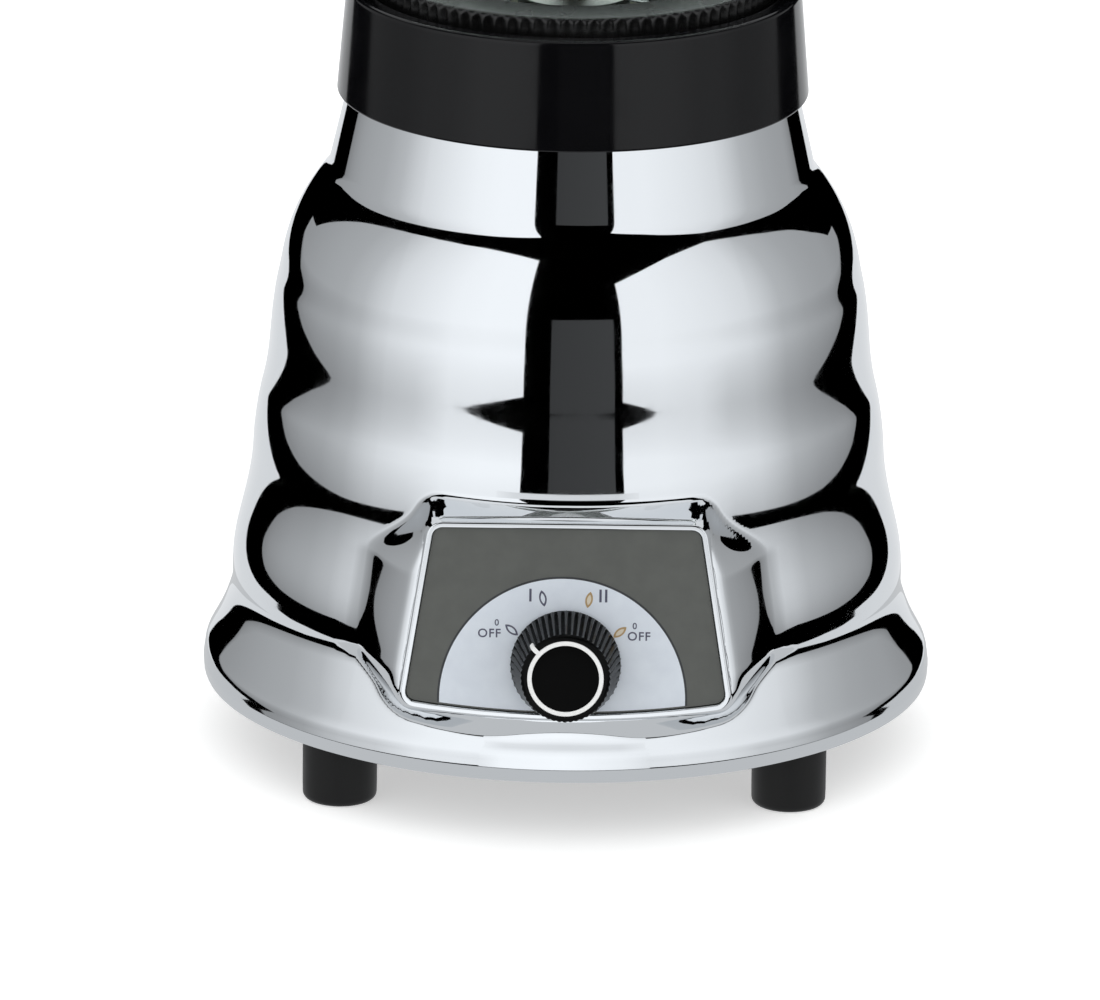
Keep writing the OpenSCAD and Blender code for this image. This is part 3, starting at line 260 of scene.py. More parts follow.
def workedMetal(name, base, tint, rough, grain, stretch=(1, 1, 1), layers=0.0):
    # bare metal: ground, cast or drawn, by the stretch of its grain; layers gives it sheets or turns
    mat, tree, shader, coords = startMaterial(name, {"Metallic": 1.0})
    place = addNode(tree, "ShaderNodeMapping", {"Scale": stretch}, {"Vector": coords})
    grit = grains(tree, grain, 4.0, place.outputs["Vector"])
    height = grit
    if layers:
        height = addNode(tree, "ShaderNodeTexWave", {"bands_direction": "Z", "Scale": 0.314 / (layers * mm),
                                                     "Distortion": 0.3}, {"Vector": coords})
    joinSockets(tree, shader, {"Base Color": twoTone(tree, grit, base, tint, 0.3, 0.7),
                               "Roughness": roughBetween(tree, grit, rough),
                               "Normal": bumpFrom(tree, height, 0.35, 0.06)})
    return mat


def clearBody(name, base, ior, rough):
    # pressed glass or clear moulded plastic: see-through, with faint flow waves in the skin
    mat, tree, shader, coords = startMaterial(name, {
        "Base Color": linear(base), "Transmission Weight": 1.0, "IOR": ior})
    flow = grains(tree, 22, 2.0, coords)
    joinSockets(tree, shader, {"Roughness": roughBetween(tree, flow, rough),
                               "Normal": bumpFrom(tree, flow, 0.2, 0.3)})
    return mat


chrome = chromePlate()
collarBlack = mouldedPlastic("satinPhenolic", "#08080A", "#0E0E10", (0.07, 0.12), 0.5, 0.006, 0.3)
knobBlack = mouldedPlastic("polishedPhenolic", "#030303", "#080808", (0.16, 0.24), 0.4, 0.008, 0.08)
discBlack = mouldedPlastic("glossInlay", "#030303", "#060606", (0.05, 0.09), 0.6, 0.004, 0.04)
nutBlack = mouldedPlastic("ribbedPhenolic", "#0A0A0A", "#141414", (0.2, 0.3), 0.4, 0.015)
lidBlack = mouldedPlastic("lidVinyl", "#0D0D0E", "#171718", (0.3, 0.42), 0.5, 0.02)
footRubber = mouldedPlastic("footRubber", "#060606", "#0D0D0D", (0.38, 0.52), 0.5, 0.03, 0.35)
bottomEnamel = mouldedPlastic("blackEnamel", "#0B0B0C", "#16171A", (0.3, 0.4), 1.2, 0.03)
epoxyBlack = mouldedPlastic("mouldedEpoxy", "#0C0C0C", "#171717", (0.4, 0.5), 0.3, 0.02)
fanNylon = mouldedPlastic("glassFilledNylon", "#1A1D20", "#24282C", (0.45, 0.6), 0.3, 0.03)
carbonBlack = mouldedPlastic("pressedCarbon", "#0E0E0F", "#1C1C1E", (0.5, 0.65), 0.2, 0.03, 0.3)
whiteInlay = mouldedPlastic("whiteUrea", "#F4F4F2", "#FCFCFB", (0.25, 0.35), 0.6, 0.01)
tanPhenolic = mouldedPlastic("paperPhenolic", "#8A6236", "#A47A48", (0.4, 0.55), 0.4, 0.02)
capacitorBlue = mouldedPlastic("dippedEpoxy", "#1F3A63", "#2B4C7E", (0.12, 0.2), 1.5, 0.03)
leadRed = mouldedPlastic("siliconeSleeve", "#8E1C16", "#A62A20", (0.4, 0.5), 0.3, 0.02)
sealRubber = mouldedPlastic("sealRubber", "#BDB3A0", "#CEC5B3", (0.5, 0.6), 0.4, 0.02, 0.4)
plateGrey = printedPaint("plateEnamel", "#555753", "#5B5D59")
dialBlue = printedPaint("dialEnamel", "#DCE3EC", "#E2E9F1", 0.4)
markInk = printedPaint("markInk", "#4C4C60", "#5C5C70")
outlineInk = printedPaint("outlineInk", "#26282A", "#34363A")
goldInk = printedPaint("goldInk", "#A98C5E", "#BFA273")
leafInk = printedPaint("leafInk", "#D8CDB8", "#E2D8C6")
scaleInk = printedPaint("scaleInk", "#EDEDEA", "#F8F8F6")
groundSteel = workedMetal("groundSteel", "#B9BBBD", "#CBCCCE", (0.22, 0.34), 0.6, (1, 1, 9))
zincSteel = workedMetal("zincPlate", "#B4B8BA", "#C6CACC", (0.24, 0.36), 1.4)
stainless = workedMetal("brushedStainless", "#BDBDBB", "#CFCFCD", (0.16, 0.28), 0.5, (1, 8, 8))
castAluminium = workedMetal("castAluminium", "#B4B6B8", "#C8CACC", (0.4, 0.55), 0.8)
laminations = workedMetal("siliconSteel", "#6E7276", "#83878C", (0.35, 0.5), 1.0, layers=1.0)
copper = workedMetal("enamelledCopper", "#A85A2C", "#C1713B", (0.25, 0.4), 0.6, layers=0.9)
bronze = workedMetal("sinteredBronze", "#A07035", "#B68447", (0.35, 0.5), 0.4)
brass = workedMetal("pressedBrass", "#BE9A4C", "#D0AE60", (0.25, 0.4), 0.7)
glass = clearBody("pressedGlass", "#F3FAF8", 1.5, (0.0, 0.03))
clearPlastic = clearBody("clearStyrene", "#EEF2F4", 1.55, (0.03, 0.1))

slotMaterials = {
    "chrome_casting": chrome, "black_satin_plastic": collarBlack, "black_gloss_plastic": discBlack,
    "white_plastic": whiteInlay, "dial_paint": plateGrey, "black_rubber": footRubber,
    "sheet_steel": bottomEnamel, "zinc_steel": zincSteel, "drive_steel": groundSteel,
    "tan_phenolic": tanPhenolic, "black_epoxy": epoxyBlack, "cast_aluminium": castAluminium,
    "lamination_steel": laminations, "copper_winding": copper, "bearing_bronze": bronze,
    "holder_brass": brass, "carbon": carbonBlack, "capacitor_blue": capacitorBlue,
    "lead_insulation": leadRed, "fan_plastic": fanNylon, "stainless": stainless,
    "gasket_rubber": sealRubber, "jar_glass": glass, "clear_plastic": clearPlastic,
}
for part in frame["record"]["subparts"]:
    node = frame["nodes"][part["node"]]
    for place in node.material_slots:
        place.material = slotMaterials[part["material_slot"]]
print("materials on every node")


# ------- chrome shell with the dial's boss -------

shell = {
    # (radius, height) of the rolled lip under the flare
    "lip": [(92.6, 17.0), (94.5, 17.0), (95.0, 17.3), (95.2, 17.9), (95.35, 20.0)],
    # height, radius and how far the wall leans in per millimetre of height
    "knots": [(20.2, 95.36, -0.02), (21.0, 95.32, 0.2), (26.0, 94.2, 0.56), (32.0, 91.05, 0.45),
              (38.0, 88.75, 0.33), (44.3, 87.75, -0.06), (48.5, 87.7, 0.02), (64.0, 84.85, 0.235),
              (79.0, 82.55, 0.045), (96.0, 80.1, 0.25), (110.5, 78.1, 0.075), (125.0, 76.15, 0.225),
              (131.0, 75.0, 0.195), (152.5, 64.7, 0.82), (156.0, 62.9, 0.232), (175.0, 58.5, 0.232),
              (181.0, 57.1, 0.232)],
    "wall": 2.2, "frontTurn": 76.0, "frontSteps": 128, "backSteps": 116,
    # rows are fine up to a height and coarser above it
    "row": 0.8, "coarseRow": 1.2, "coarseFrom": 95.0,
    # the boss: how broad its flanks are, its lip, its recess and the stretch of wall that it changes
    "flank": 14.5, "flankTop": 4.0, "flankLow": 8.0, "lipWide": 1.4, "lipHeight": 0.35, "recess": 1.1,
    "bossWide": 56.0, "bossFront": -40.0, "bossLow": 26.0, "bossHigh": 96.0,
}
panel = {
    "reach": 91.2, "height": 48.0, "tilt": 7.5,
    "topWidth": 67.8, "lowWidth": 82.0, "up": 35.0, "down": 9.5, "bow": 3.4, "corner": 2.5,
    "plate": 0.6, "bezelWidth": 1.6, "bezelHeight": 1.0,
}
tilt = math.radians(panel["tilt"])
panelUp = Vector((0, math.sin(tilt), math.cos(tilt)))
panelOut = Vector((0, -math.cos(tilt), math.sin(tilt)))
panelHome = Vector((0, -panel["reach"], panel["height"]))


def onPanel(u, v, h=0.0):
    # right, up the panel and out of it, from the knob's axis on the plate's face
    return panelHome + Vector((u, 0, 0)) + panelUp * v + panelOut * h


def plateOutline(grow, steps=6):
    lean = (panel["lowWidth"] - panel["topWidth"]) / 2 / (panel["up"] + panel["down"])
    top, low = panel["up"] + grow, -panel["down"] - grow

    def side(v):
        return panel["topWidth"] / 2 + lean * (panel["up"] - v) + grow * math.sqrt(1 + lean * lean)

    half, bow = side(low), panel["bow"]
    arc = (half * half + bow * bow) / 2 / bow
    radius = panel["corner"] + grow
    corners = [(side(top), top, radius), (-side(top), top, radius), (-half, low, radius)]
    for k in range(1, 12):
        s = half * (k / 6 - 1)
        corners.append((s, low - bow + arc - math.sqrt(arc * arc - s * s), 0))
    corners.append((half, low, radius))
    return softCorners(corners, True, steps, False)


def curveBetween(a, b, t):
    h, t2, t3 = b[0] - a[0], t * t, t * t * t
    radius = ((2 * t3 - 3 * t2 + 1) * a[1] - (t3 - 2 * t2 + t) * h * a[2]
              + (3 * t2 - 2 * t3) * b[1] - (t3 - t2) * h * b[2])
    return radius, a[0] + h * t


def shellProfile():
    s = shell
    outer = s["lip"][1:]
    for a, b in zip(s["knots"], s["knots"][1:]):
        row = s["row"] if a[0] < s["coarseFrom"] else s["coarseRow"]
        rows = max(2, round((b[0] - a[0]) / row))
        outer += [curveBetween(a, b, k / rows) for k in range(rows)]
    outer.append((s["knots"][-1][1], s["knots"][-1][0]))
    inner = [(s["knots"][-1][1] - s["wall"], s["knots"][-1][0])]
    for a, b in list(zip(s["knots"], s["knots"][1:]))[:0:-1]:
        inner += [(r - s["wall"], z) for r, z in (curveBetween(a, b, k / 3) for k in (2, 1, 0))]
    inner.append(s["lip"][0])
    return outer, inner


def distanceToLoop(u, v, loop):
    # distance to the outline, negative inside it
    best, inside = 1e9, False
    for k in range(len(loop)):
        ax, ay = loop[k - 1]
        bx, by = loop[k]
        dx, dy = bx - ax, by - ay
        t = min(max(((u - ax) * dx + (v - ay) * dy) / max(dx * dx + dy * dy, 1e-9), 0), 1)
        best = min(best, math.hypot(u - ax - dx * t, v - ay - dy * t))
        if (ay > v) != (by > v) and u < ax + dx * (v - ay) / (by - ay):
            inside = not inside
    return -best if inside else best


def makeShell():
    s = shell
    bm = bmesh.new()
    outer, inner = shellProfile()
    front = {"steps": s["frontSteps"], "start": -90 - s["frontTurn"] / 2, "turn": s["frontTurn"]}
    back = {"steps": s["backSteps"], "start": -90 + s["frontTurn"] / 2, "turn": 360 - s["frontTurn"]}
    lathe(bm, outer, **front)
    lathe(bm, outer, **back)
    bmesh.ops.remove_doubles(bm, verts=bm.verts[:], dist=0.003)
    outline = [(p.x, p.y) for p in plateOutline(0)]
    reach = s["flank"] + panel["bezelWidth"] + 0.5
    for vert in bm.verts:
        x, y, z = vert.co
        if y > s["bossFront"] or abs(x) > s["bossWide"] or not s["bossLow"] <= z <= s["bossHigh"]:
            continue
        v = (z - panel["height"]) / math.cos(tilt)
        gap = distanceToLoop(x, v, outline)
        if gap > reach:
            continue
        # the flanks are broad at the sides and shorter above and below
        flank = s["flank"] + (s["flankTop"] - s["flank"]) * smoothStep((v - 22) / 14)
        flank += (s["flankLow"] - flank) * smoothStep((-v - 2) / 10)
        lift = (s["recess"] + s["lipHeight"]) * smoothStep((gap - 0.2) / (s["lipWide"] - 0.2)) - s["recess"]
        plane = -panel["reach"] - (lift - math.sin(tilt) * (z - panel["height"])) / math.cos(tilt)
        share = 1 - softRamp((gap - s["lipWide"]) / flank)
        target = min(y, plane) if gap > 0 else plane
        vert.co.y = y + (target - y) * share
    # the inner wall and the rim's edge are spun on their own and merge with the outer skin
    lining = [outer[-1]] + inner + [outer[0]]
    lathe(bm, lining, **back)
    lathe(bm, lining, **front)
    return finishPiece("chromeShell", bm, "base", [chrome], 60, ["housing"])


makeShell()


def makeBezel():
    # a thin rounded lip round the plate's recess
    w, h = panel["bezelWidth"], panel["bezelHeight"]
    section = softCorners([(0.1, -0.9, 0), (0.12, h, 0.4), (w - 0.1, h, 0.55), (w + 0.7, -0.5, 0)],
                          False, 4, False)
    bm = bmesh.new()
    loops = [loopOf(bm, [onPanel(p.x, p.y, up) for p in plateOutline(out)]) for out, up in section]
    bridgeLoops(bm, loops, closed=True)
    return finishPiece("bezelLip", bm, "base", [chrome], 50)


makeBezel()
print("shell and bezel done")


# ------- dial plate and its marks -------

dial = {
    "centre": (-0.8, -9.3), "radius": 31.4, "outline": 0.55, "ink": 0.04,
    "leafLength": 4.3, "leafWidth": 1.9,
    # radius and angle of each leaf about the knob's axis
    "leaves": [(16.4, 148, "plain"), (18.0, 109.5, "plain"), (17.7, 71, "gold"), (16.1, 31.5, "gold")],
    # text, right, up, height of its letters
    "words": [("I", -9.2, 17.6, 3.4), ("II", 9.4, 17.6, 3.4), ("OFF", -19.6, 7.7, 2.3),
              ("0", -17.7, 10.5, 1.7), ("OFF", 18.6, 7.3, 2.3), ("0", 17.5, 10.0, 1.7)],
}


def plateLow(u, inset):
    # height of the plate's bowed lower edge, moved up by the inset
    half = panel["lowWidth"] / 2
    arc = (half * half + panel["bow"] ** 2) / 2 / panel["bow"]
    return -panel["down"] - panel["bow"] + arc - math.sqrt(arc * arc - u * u) + inset


def thinSheet(bm, points, low, high):
    # a flat shape on the panel, with a real thickness
    verts = [bm.verts.new(onPanel(u, v, low)) for u, v in points]
    face = bm.faces.new(verts)
    grown = bmesh.ops.extrude_face_region(bm, geom=[face])
    moved = [g for g in grown["geom"] if isinstance(g, bmesh.types.BMVert)]
    bmesh.ops.translate(bm, vec=panelOut * (high - low), verts=moved)
    return moved


def dialShape(radius, inset):
    cu, cv = dial["centre"]
    rim = []
    for k in range(145):
        a = math.radians(-20 + 220 * k / 144)
        u, v = cu + radius * math.cos(a), cv + radius * math.sin(a)
        if v >= plateLow(u, inset):
            rim.append((u, v))
    right, left = rim[0][0], rim[-1][0]
    base = [left + (right - left) * k / 20 for k in range(21)]
    return rim + [(u, plateLow(u, inset)) for u in base]


def makeDial():
    ink = dial["ink"]
    bm = bmesh.new()
    thinSheet(bm, [(p.x, p.y) for p in plateOutline(-0.05)], -panel["plate"], 0)
    finishPiece("dialPlate", bm, "base", [plateGrey], 30, ["dial_plate"])
    bm = bmesh.new()
    thinSheet(bm, dialShape(dial["radius"] + dial["outline"], 0.5), -0.1, ink)
    finishPiece("dialOutline", bm, "base", [outlineInk], 30)
    bm = bmesh.new()
    thinSheet(bm, dialShape(dial["radius"], 0.5), -0.1, ink * 2)
    finishPiece("dialField", bm, "base", [dialBlue], 30)


makeDial()


def leafPoints(length, width):
    # two arcs that meet in points
    half = length / 2
    arc = (half * half + width * width / 4) / width
    side = []
    for k in range(13):
        s = half * (k / 6 - 1)
        side.append((s, math.sqrt(arc * arc - s * s) - arc + width / 2))
    return side + [(s, -t) for s, t in side[-2:0:-1]]


def makeLeaves():
    for number, (radius, degrees, kind) in enumerate(dial["leaves"]):
        a = math.radians(degrees)
        cu, cv = radius * math.cos(a), radius * math.sin(a)
        for name, length, width, low, high, mat in (
                ("Edge", dial["leafLength"], dial["leafWidth"], 2, 3, goldInk if kind == "gold" else markInk),
                ("Fill", dial["leafLength"] - 1.5, dial["leafWidth"] - 0.85, 3, 4,
                 leafInk if kind == "gold" else dialBlue)):
            # a leaf stands a little off the radius, as the others do
            turn = a + math.radians(8 if degrees < 90 else -8)
            c, d = math.cos(turn), math.sin(turn)
            spots = [(cu + s * c - t * d, cv + s * d + t * c) for s, t in leafPoints(length, width)]
            bm = bmesh.new()
            thinSheet(bm, spots, dial["ink"] * low - 0.02, dial["ink"] * high)
            finishPiece(f"leaf{name}{number}", bm, "base", [mat], 30)


makeLeaves()


def wordMesh(text, height, thick):
    # the letters as a mesh in millimetres, centred, lying in X and Y
    curve = bpy.data.curves.new("letters", "FONT")
    curve.body = text
    curve.align_x = "CENTER"
    curve.align_y = "CENTER"
    curve.size = height / 0.73
    curve.offset = 0.02 * height
    curve.space_character = 1.12
    curve.extrude = thick
    curve.resolution_u = 4
    letters = linked("letters", curve)
    flat = bakedMesh(letters)
    bm = bmesh.new()
    bm.from_mesh(flat)
    bpy.data.objects.remove(letters)
    bpy.data.meshes.remove(flat)
    return bm


def makeWords():
    for number, (text, u, v, height) in enumerate(dial["words"]):
        bm = wordMesh(text, height, dial["ink"])
        for vert in bm.verts:
            x, y, z = vert.co
            vert.co = onPanel(u + x, v + y, dial["ink"] * 2.2 + z)
        finishPiece(f"dialWord{number}", bm, "base", [markInk], 30)


makeWords()
print("dial and marks done")


# ------- knob -------

knob = {
    "skirt": 14.4, "face": 11.3, "low": 1.0, "high": 20.0, "ribs": 48, "perRib": 6, "ribDepth": 0.95,
    "ringOut": 9.7, "ringIn": 8.55, "pointer": 137.0, "pointerWidth": 1.15,
}


def flankRadius(h):
    return knob["skirt"] + (knob["face"] - knob["skirt"]) * (h - knob["low"]) / (knob["high"] - knob["low"])


def makeKnob():
    k = knob
    heights = [k["low"] + 0.8 + (k["high"] - 2.6) * n / 16 for n in range(17)]
    side = [(flankRadius(h), h) for h in heights]
    profile = ([(0, k["low"]), (k["skirt"] - 1.0, k["low"]), (k["skirt"] - 0.35, k["low"] + 0.15)] + side
               + [(k["face"] - 0.1, k["high"] - 0.55), (k["face"] - 0.5, k["high"] - 0.15),
                  (k["face"] - 1.0, k["high"]), (k["ringOut"] + 0.08, k["high"]),
                  (k["ringOut"] + 0.05, k["high"] - 0.6), (0, k["high"] - 0.6)])
    bm = bmesh.new()
    lathe(bm, profile, k["ribs"] * k["perRib"])
    bmesh.ops.remove_doubles(bm, verts=bm.verts[:], dist=0.003)
    for vert in bm.verts:
        x, y, z = vert.co
        radius = math.hypot(x, y)
        if radius < k["face"] - 1.2 or z < k["low"] + 0.5:
            continue
        wave = 0.5 + 0.5 * math.cos(math.atan2(y, x) * k["ribs"])
        fade = smoothStep((k["high"] - 0.4 - z) / 1.2)
        shrink = 1 - k["ribDepth"] * (1 - wave ** 0.7) * fade / radius
        vert.co.x, vert.co.y = x * shrink, y * shrink
    for vert in bm.verts:
        vert.co = onPanel(*vert.co)
    finishPiece("knobBody", bm, "knob", [knobBlack], 35, ["knob"])


makeKnob()


def makePointerRing():
    # a white ring let into the face, with a tick that runs over the edge and a little way down
    k = knob
    bm = bmesh.new()
    top = k["high"] + 0.12
    section = softCorners([(k["ringIn"], k["high"] - 0.6, 0), (k["ringIn"], top, 0.15),
                           (k["ringOut"], top, 0.15), (k["ringOut"], k["high"] - 0.6, 0)], False, 3)
    lathe(bm, section, 128, closed=True)
    bmesh.ops.remove_doubles(bm, verts=bm.verts[:], dist=0.003)
    path = [(k["ringOut"] - 0.4, top), (k["face"] - 0.5, top), (k["face"] + 0.15, top - 0.45),
            (k["face"] + 0.45, top - 1.4), (k["face"] + 0.75, top - 3.0), (k["face"] + 0.82, top - 3.5)]
    widths = [1, 1, 1, 1, 0.96, 0.6]
    loops = []
    for (r, h), share in zip(path, widths):
        w = k["pointerWidth"] / 2 * share
        loops.append(loopOf(bm, [(r, -w, h), (r, -w * 0.8, h + 0.08), (r, w * 0.8, h + 0.08), (r, w, h),
                                 (r - 0.7, w, h - 0.5), (r - 0.7, -w, h - 0.5)]))
    bridgeLoops(bm, loops)
    bmesh.ops.contextual_create(bm, geom=loops[0])
    bmesh.ops.contextual_create(bm, geom=loops[-1])
    turn = math.radians(k["pointer"])
    for vert in bm.verts:
        x, y, z = vert.co
        vert.co = onPanel(x * math.cos(turn) - y * math.sin(turn), x * math.sin(turn) + y * math.cos(turn), z)
    finishPiece("pointerInlay", bm, "knob", [whiteInlay], 40, ["pointer_ring"])


makePointerRing()


def makeDisc():
    k = knob
    bm = bmesh.new()
    lathe(bm, [(0, k["high"] - 0.6), (k["ringIn"] - 0.02, k["high"] - 0.6),
               (k["ringIn"] - 0.02, k["high"] - 0.12), (k["ringIn"] - 0.3, k["high"] + 0.02),
               (k["ringIn"] * 0.7, k["high"] + 0.1), (k["ringIn"] * 0.35, k["high"] + 0.14),
               (0, k["high"] + 0.15)], 96)
    bmesh.ops.remove_doubles(bm, verts=bm.verts[:], dist=0.003)
    for vert in bm.verts:
        vert.co = onPanel(*vert.co)
    finishPiece("faceDisc", bm, "knob", [discBlack], 50, ["knob_disc"])


makeDisc()
print("knob done")


# ------- feet, grommet and bottom -------

foot = {"radius": 9.65, "height": 19.0, "edge": 1.8, "hole": 2.2, "recess": 4.1, "recessDepth": 9.0}


def makeFoot(name, node):
    low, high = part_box(node)
    centre = Vector(((low.x + high.x) / 2, (low.y + high.y) / 2, 0)) / mm
    f = foot
    profile = softCorners([
        (f["hole"], f["height"], 0), (f["hole"], f["recessDepth"], 0), (f["recess"], f["recessDepth"], 0),
        (f["recess"], 0, 0.5), (f["radius"] - 0.1, 0, f["edge"]), (f["radius"], 4, 0),
        (f["radius"], f["height"] - 1.2, 0.3), (f["radius"] - 0.7, f["height"] - 0.9, 0.3),
        (f["radius"] - 0.7, f["height"], 0)], True, 6)
    bm = bmesh.new()
    lathe(bm, profile, 96, closed=True)
    bmesh.ops.translate(bm, vec=centre, verts=bm.verts[:])
    finishPiece(name, bm, "base", [footRubber], 40, [node])


for name, node in (("footFrontLeft", "foot_front_left"), ("footFrontRight", "foot_front_right"),
                   ("footRearLeft", "foot_rear_left"), ("footRearRight", "foot_rear_right")):
    makeFoot(name, node)


grommet = {"bore": 3.9, "hole": 7.0, "flange": 9.6, "height": 54.0}


def makeGrommet():
    low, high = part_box("cord_grommet")
    back, front = low.y / mm, high.y / mm
    g = grommet
    profile = softCorners([
        (g["bore"], back, 0.5), (g["flange"], back, 0.7), (g["flange"], back + 1.6, 0.2),
        (g["hole"], back + 1.6, 0), (g["hole"], front - 3.4, 0), (g["flange"], front - 3.4, 0.3),
        (g["flange"], front - 1.8, 1.0), (g["bore"] + 1.6, front, 0.6), (g["bore"], front, 0.4)], True, 4)
    bm = bmesh.new()
    lathe(bm, profile, 96, closed=True)
    # the lathe's axis turns from up to backwards, and the length along it becomes Y
    for vert in bm.verts:
        x, y, z = vert.co
        vert.co = Vector((x, z, g["height"] - y))
    finishPiece("cordGrommet", bm, "base", [footRubber], 40, ["cord_grommet"])


makeGrommet()
print("feet and grommet done")


# ------- collar and jar nut -------

collar = {
    "low": 175.0, "high": 203.5, "lowRadius": 61.2, "highRadius": 58.8, "socket": 53.7, "socketFloor": 184.0,
    "lap": 58.65, "lapHigh": 181.0, "hole": 17.0, "edge": 1.2,
}


def makeCollar():
    c = collar
    bm = bmesh.new()
    profile = softCorners([
        (c["lap"], c["low"], 0), (c["lowRadius"], c["low"], 0.5), (c["highRadius"], c["high"], c["edge"]),
        (c["socket"] + 0.9, c["high"], 0.5), (c["socket"], c["high"] - 1.6, 0.4),
        (c["socket"], c["socketFloor"], 1.0), (c["hole"], c["socketFloor"], 0.5),
        (c["hole"], c["lapHigh"], 0.4), (c["lap"], c["lapHigh"], 0)], True, 5)
    lathe(bm, profile, 256, closed=True)
    finishPiece("jarCollar", bm, "base", [collarBlack], 35, ["jar_collar"])


makeCollar()

nut = {"radius": 52.5, "low": 184.3, "high": 207.8, "skirt": 49.9, "sleeve": 38.5, "ribs": 96, "perRib": 6,
       "ribDepth": 0.9, "ledge": 30.5, "carrier": 187.3}


def makeNut():
    n = nut
    bm = bmesh.new()
    rows = [(n["radius"], n["low"] + 1 + (n["high"] - n["low"] - 2.4) * k / 12) for k in range(13)]
    profile = ([(n["ledge"], n["carrier"]), (n["ledge"], n["low"]), (n["radius"] - 0.8, n["low"]),
                (n["radius"] - 0.2, n["low"] + 0.3)] + rows
               + [(n["radius"] - 0.15, n["high"] - 0.8), (n["radius"] - 0.6, n["high"] - 0.25),
                  (n["radius"] - 1.3, n["high"]), (n["skirt"] + 0.6, n["high"]),
                  (n["skirt"] + 0.1, n["high"] - 0.4), (n["skirt"] - 1.0, n["high"] - 1.4),
                  (n["sleeve"] + 3.6, n["high"] - 1.2),
                  (n["sleeve"] + 0.6, n["high"]), (n["sleeve"] + 0.1, n["high"] - 0.3),
                  (n["sleeve"], n["high"] - 0.8), (n["sleeve"], n["carrier"])])
    lathe(bm, profile, n["ribs"] * n["perRib"], closed=True)
    bmesh.ops.remove_doubles(bm, verts=bm.verts[:], dist=0.003)
    for vert in bm.verts:
        x, y, z = vert.co
        radius = math.hypot(x, y)
        if radius < n["skirt"] + 1.0:
            continue
        wave = 0.5 + 0.5 * math.cos(math.atan2(y, x) * n["ribs"])
        fade = smoothStep((n["high"] - 0.3 - z) / 1.0) * smoothStep((z - n["low"]) / 1.0)
        shrink = 1 - n["ribDepth"] * (1 - wave ** 0.8) * fade / radius
        vert.co.x, vert.co.y = x * shrink, y * shrink
    finishPiece("jarNut", bm, "jar_foot", [nutBlack], 35, ["jar_nut"])


makeNut()
print("collar and nut done")


# ------- jar, lid and cap -------

jar = {
    "foot": 38.0, "low": 190.83, "footHigh": 209.3, "high": 366.8, "wall": 4.5,
    # height, radius and lean of the wall above the foot and under the rim
    "knots": [(218.8, 47.0, -0.34), (358.8, 62.5, -0.02)],
    "bead": 1.4, "spoutReach": 72.6, "spoutHalf": 24.0, "spoutDrop": 40.0,
    "handleWide": 17.0, "handleThick": 12.0, "handleTop": 344.8, "handleLow": 250.8,
}


def jarProfile():
    j = jar
    rimLow, rim = j["knots"][1][:2]
    body = [curveBetween(*j["knots"], k / 36) for k in range(37)]
    outer = softCorners([
        (j["foot"] - 4.5, j["low"], 0.6), (j["foot"], j["low"], 0.8), (j["foot"], j["footHigh"], 1.5),
        (j["foot"] + 4.5, j["footHigh"] + 4.5, 3.0), (body[0][0], body[0][1], 0)], False, 4)
    outer = [tuple(p) for p in outer] + body[1:]
    lip = softCorners([
        (rim, rimLow, 0), (rim + j["bead"], rimLow + 2.2, 0.8), (rim + j["bead"], j["high"], 1.6),
        (rim - j["wall"], j["high"], 1.6), (rim - j["wall"], rimLow, 0)], False, 5)
    inner = [(r - j["wall"], z) for r, z in reversed(body)]
    return outer + [tuple(p) for p in lip[1:-1]] + inner + [(j["foot"] - j["wall"], j["footHigh"] + 3)]


def pullSpout(co):
    # the rim swells out into a spout on the side away from the handle
    j = jar
    side = math.degrees(math.atan2(co.y, -co.x))
    if abs(side) > j["spoutHalf"] or co.z < j["high"] - j["spoutDrop"]:
        return co
    rise = (co.z - j["high"] + j["spoutDrop"]) / j["spoutDrop"]
    share = math.cos(math.radians(side / j["spoutHalf"] * 90)) ** 1.6 * rise ** 2.2
    radius = math.hypot(co.x, co.y)
    grown = (radius + (j["spoutReach"] - j["knots"][1][1] - j["bead"]) * share) / radius
    return Vector((co.x * grown, co.y * grown, co.z))


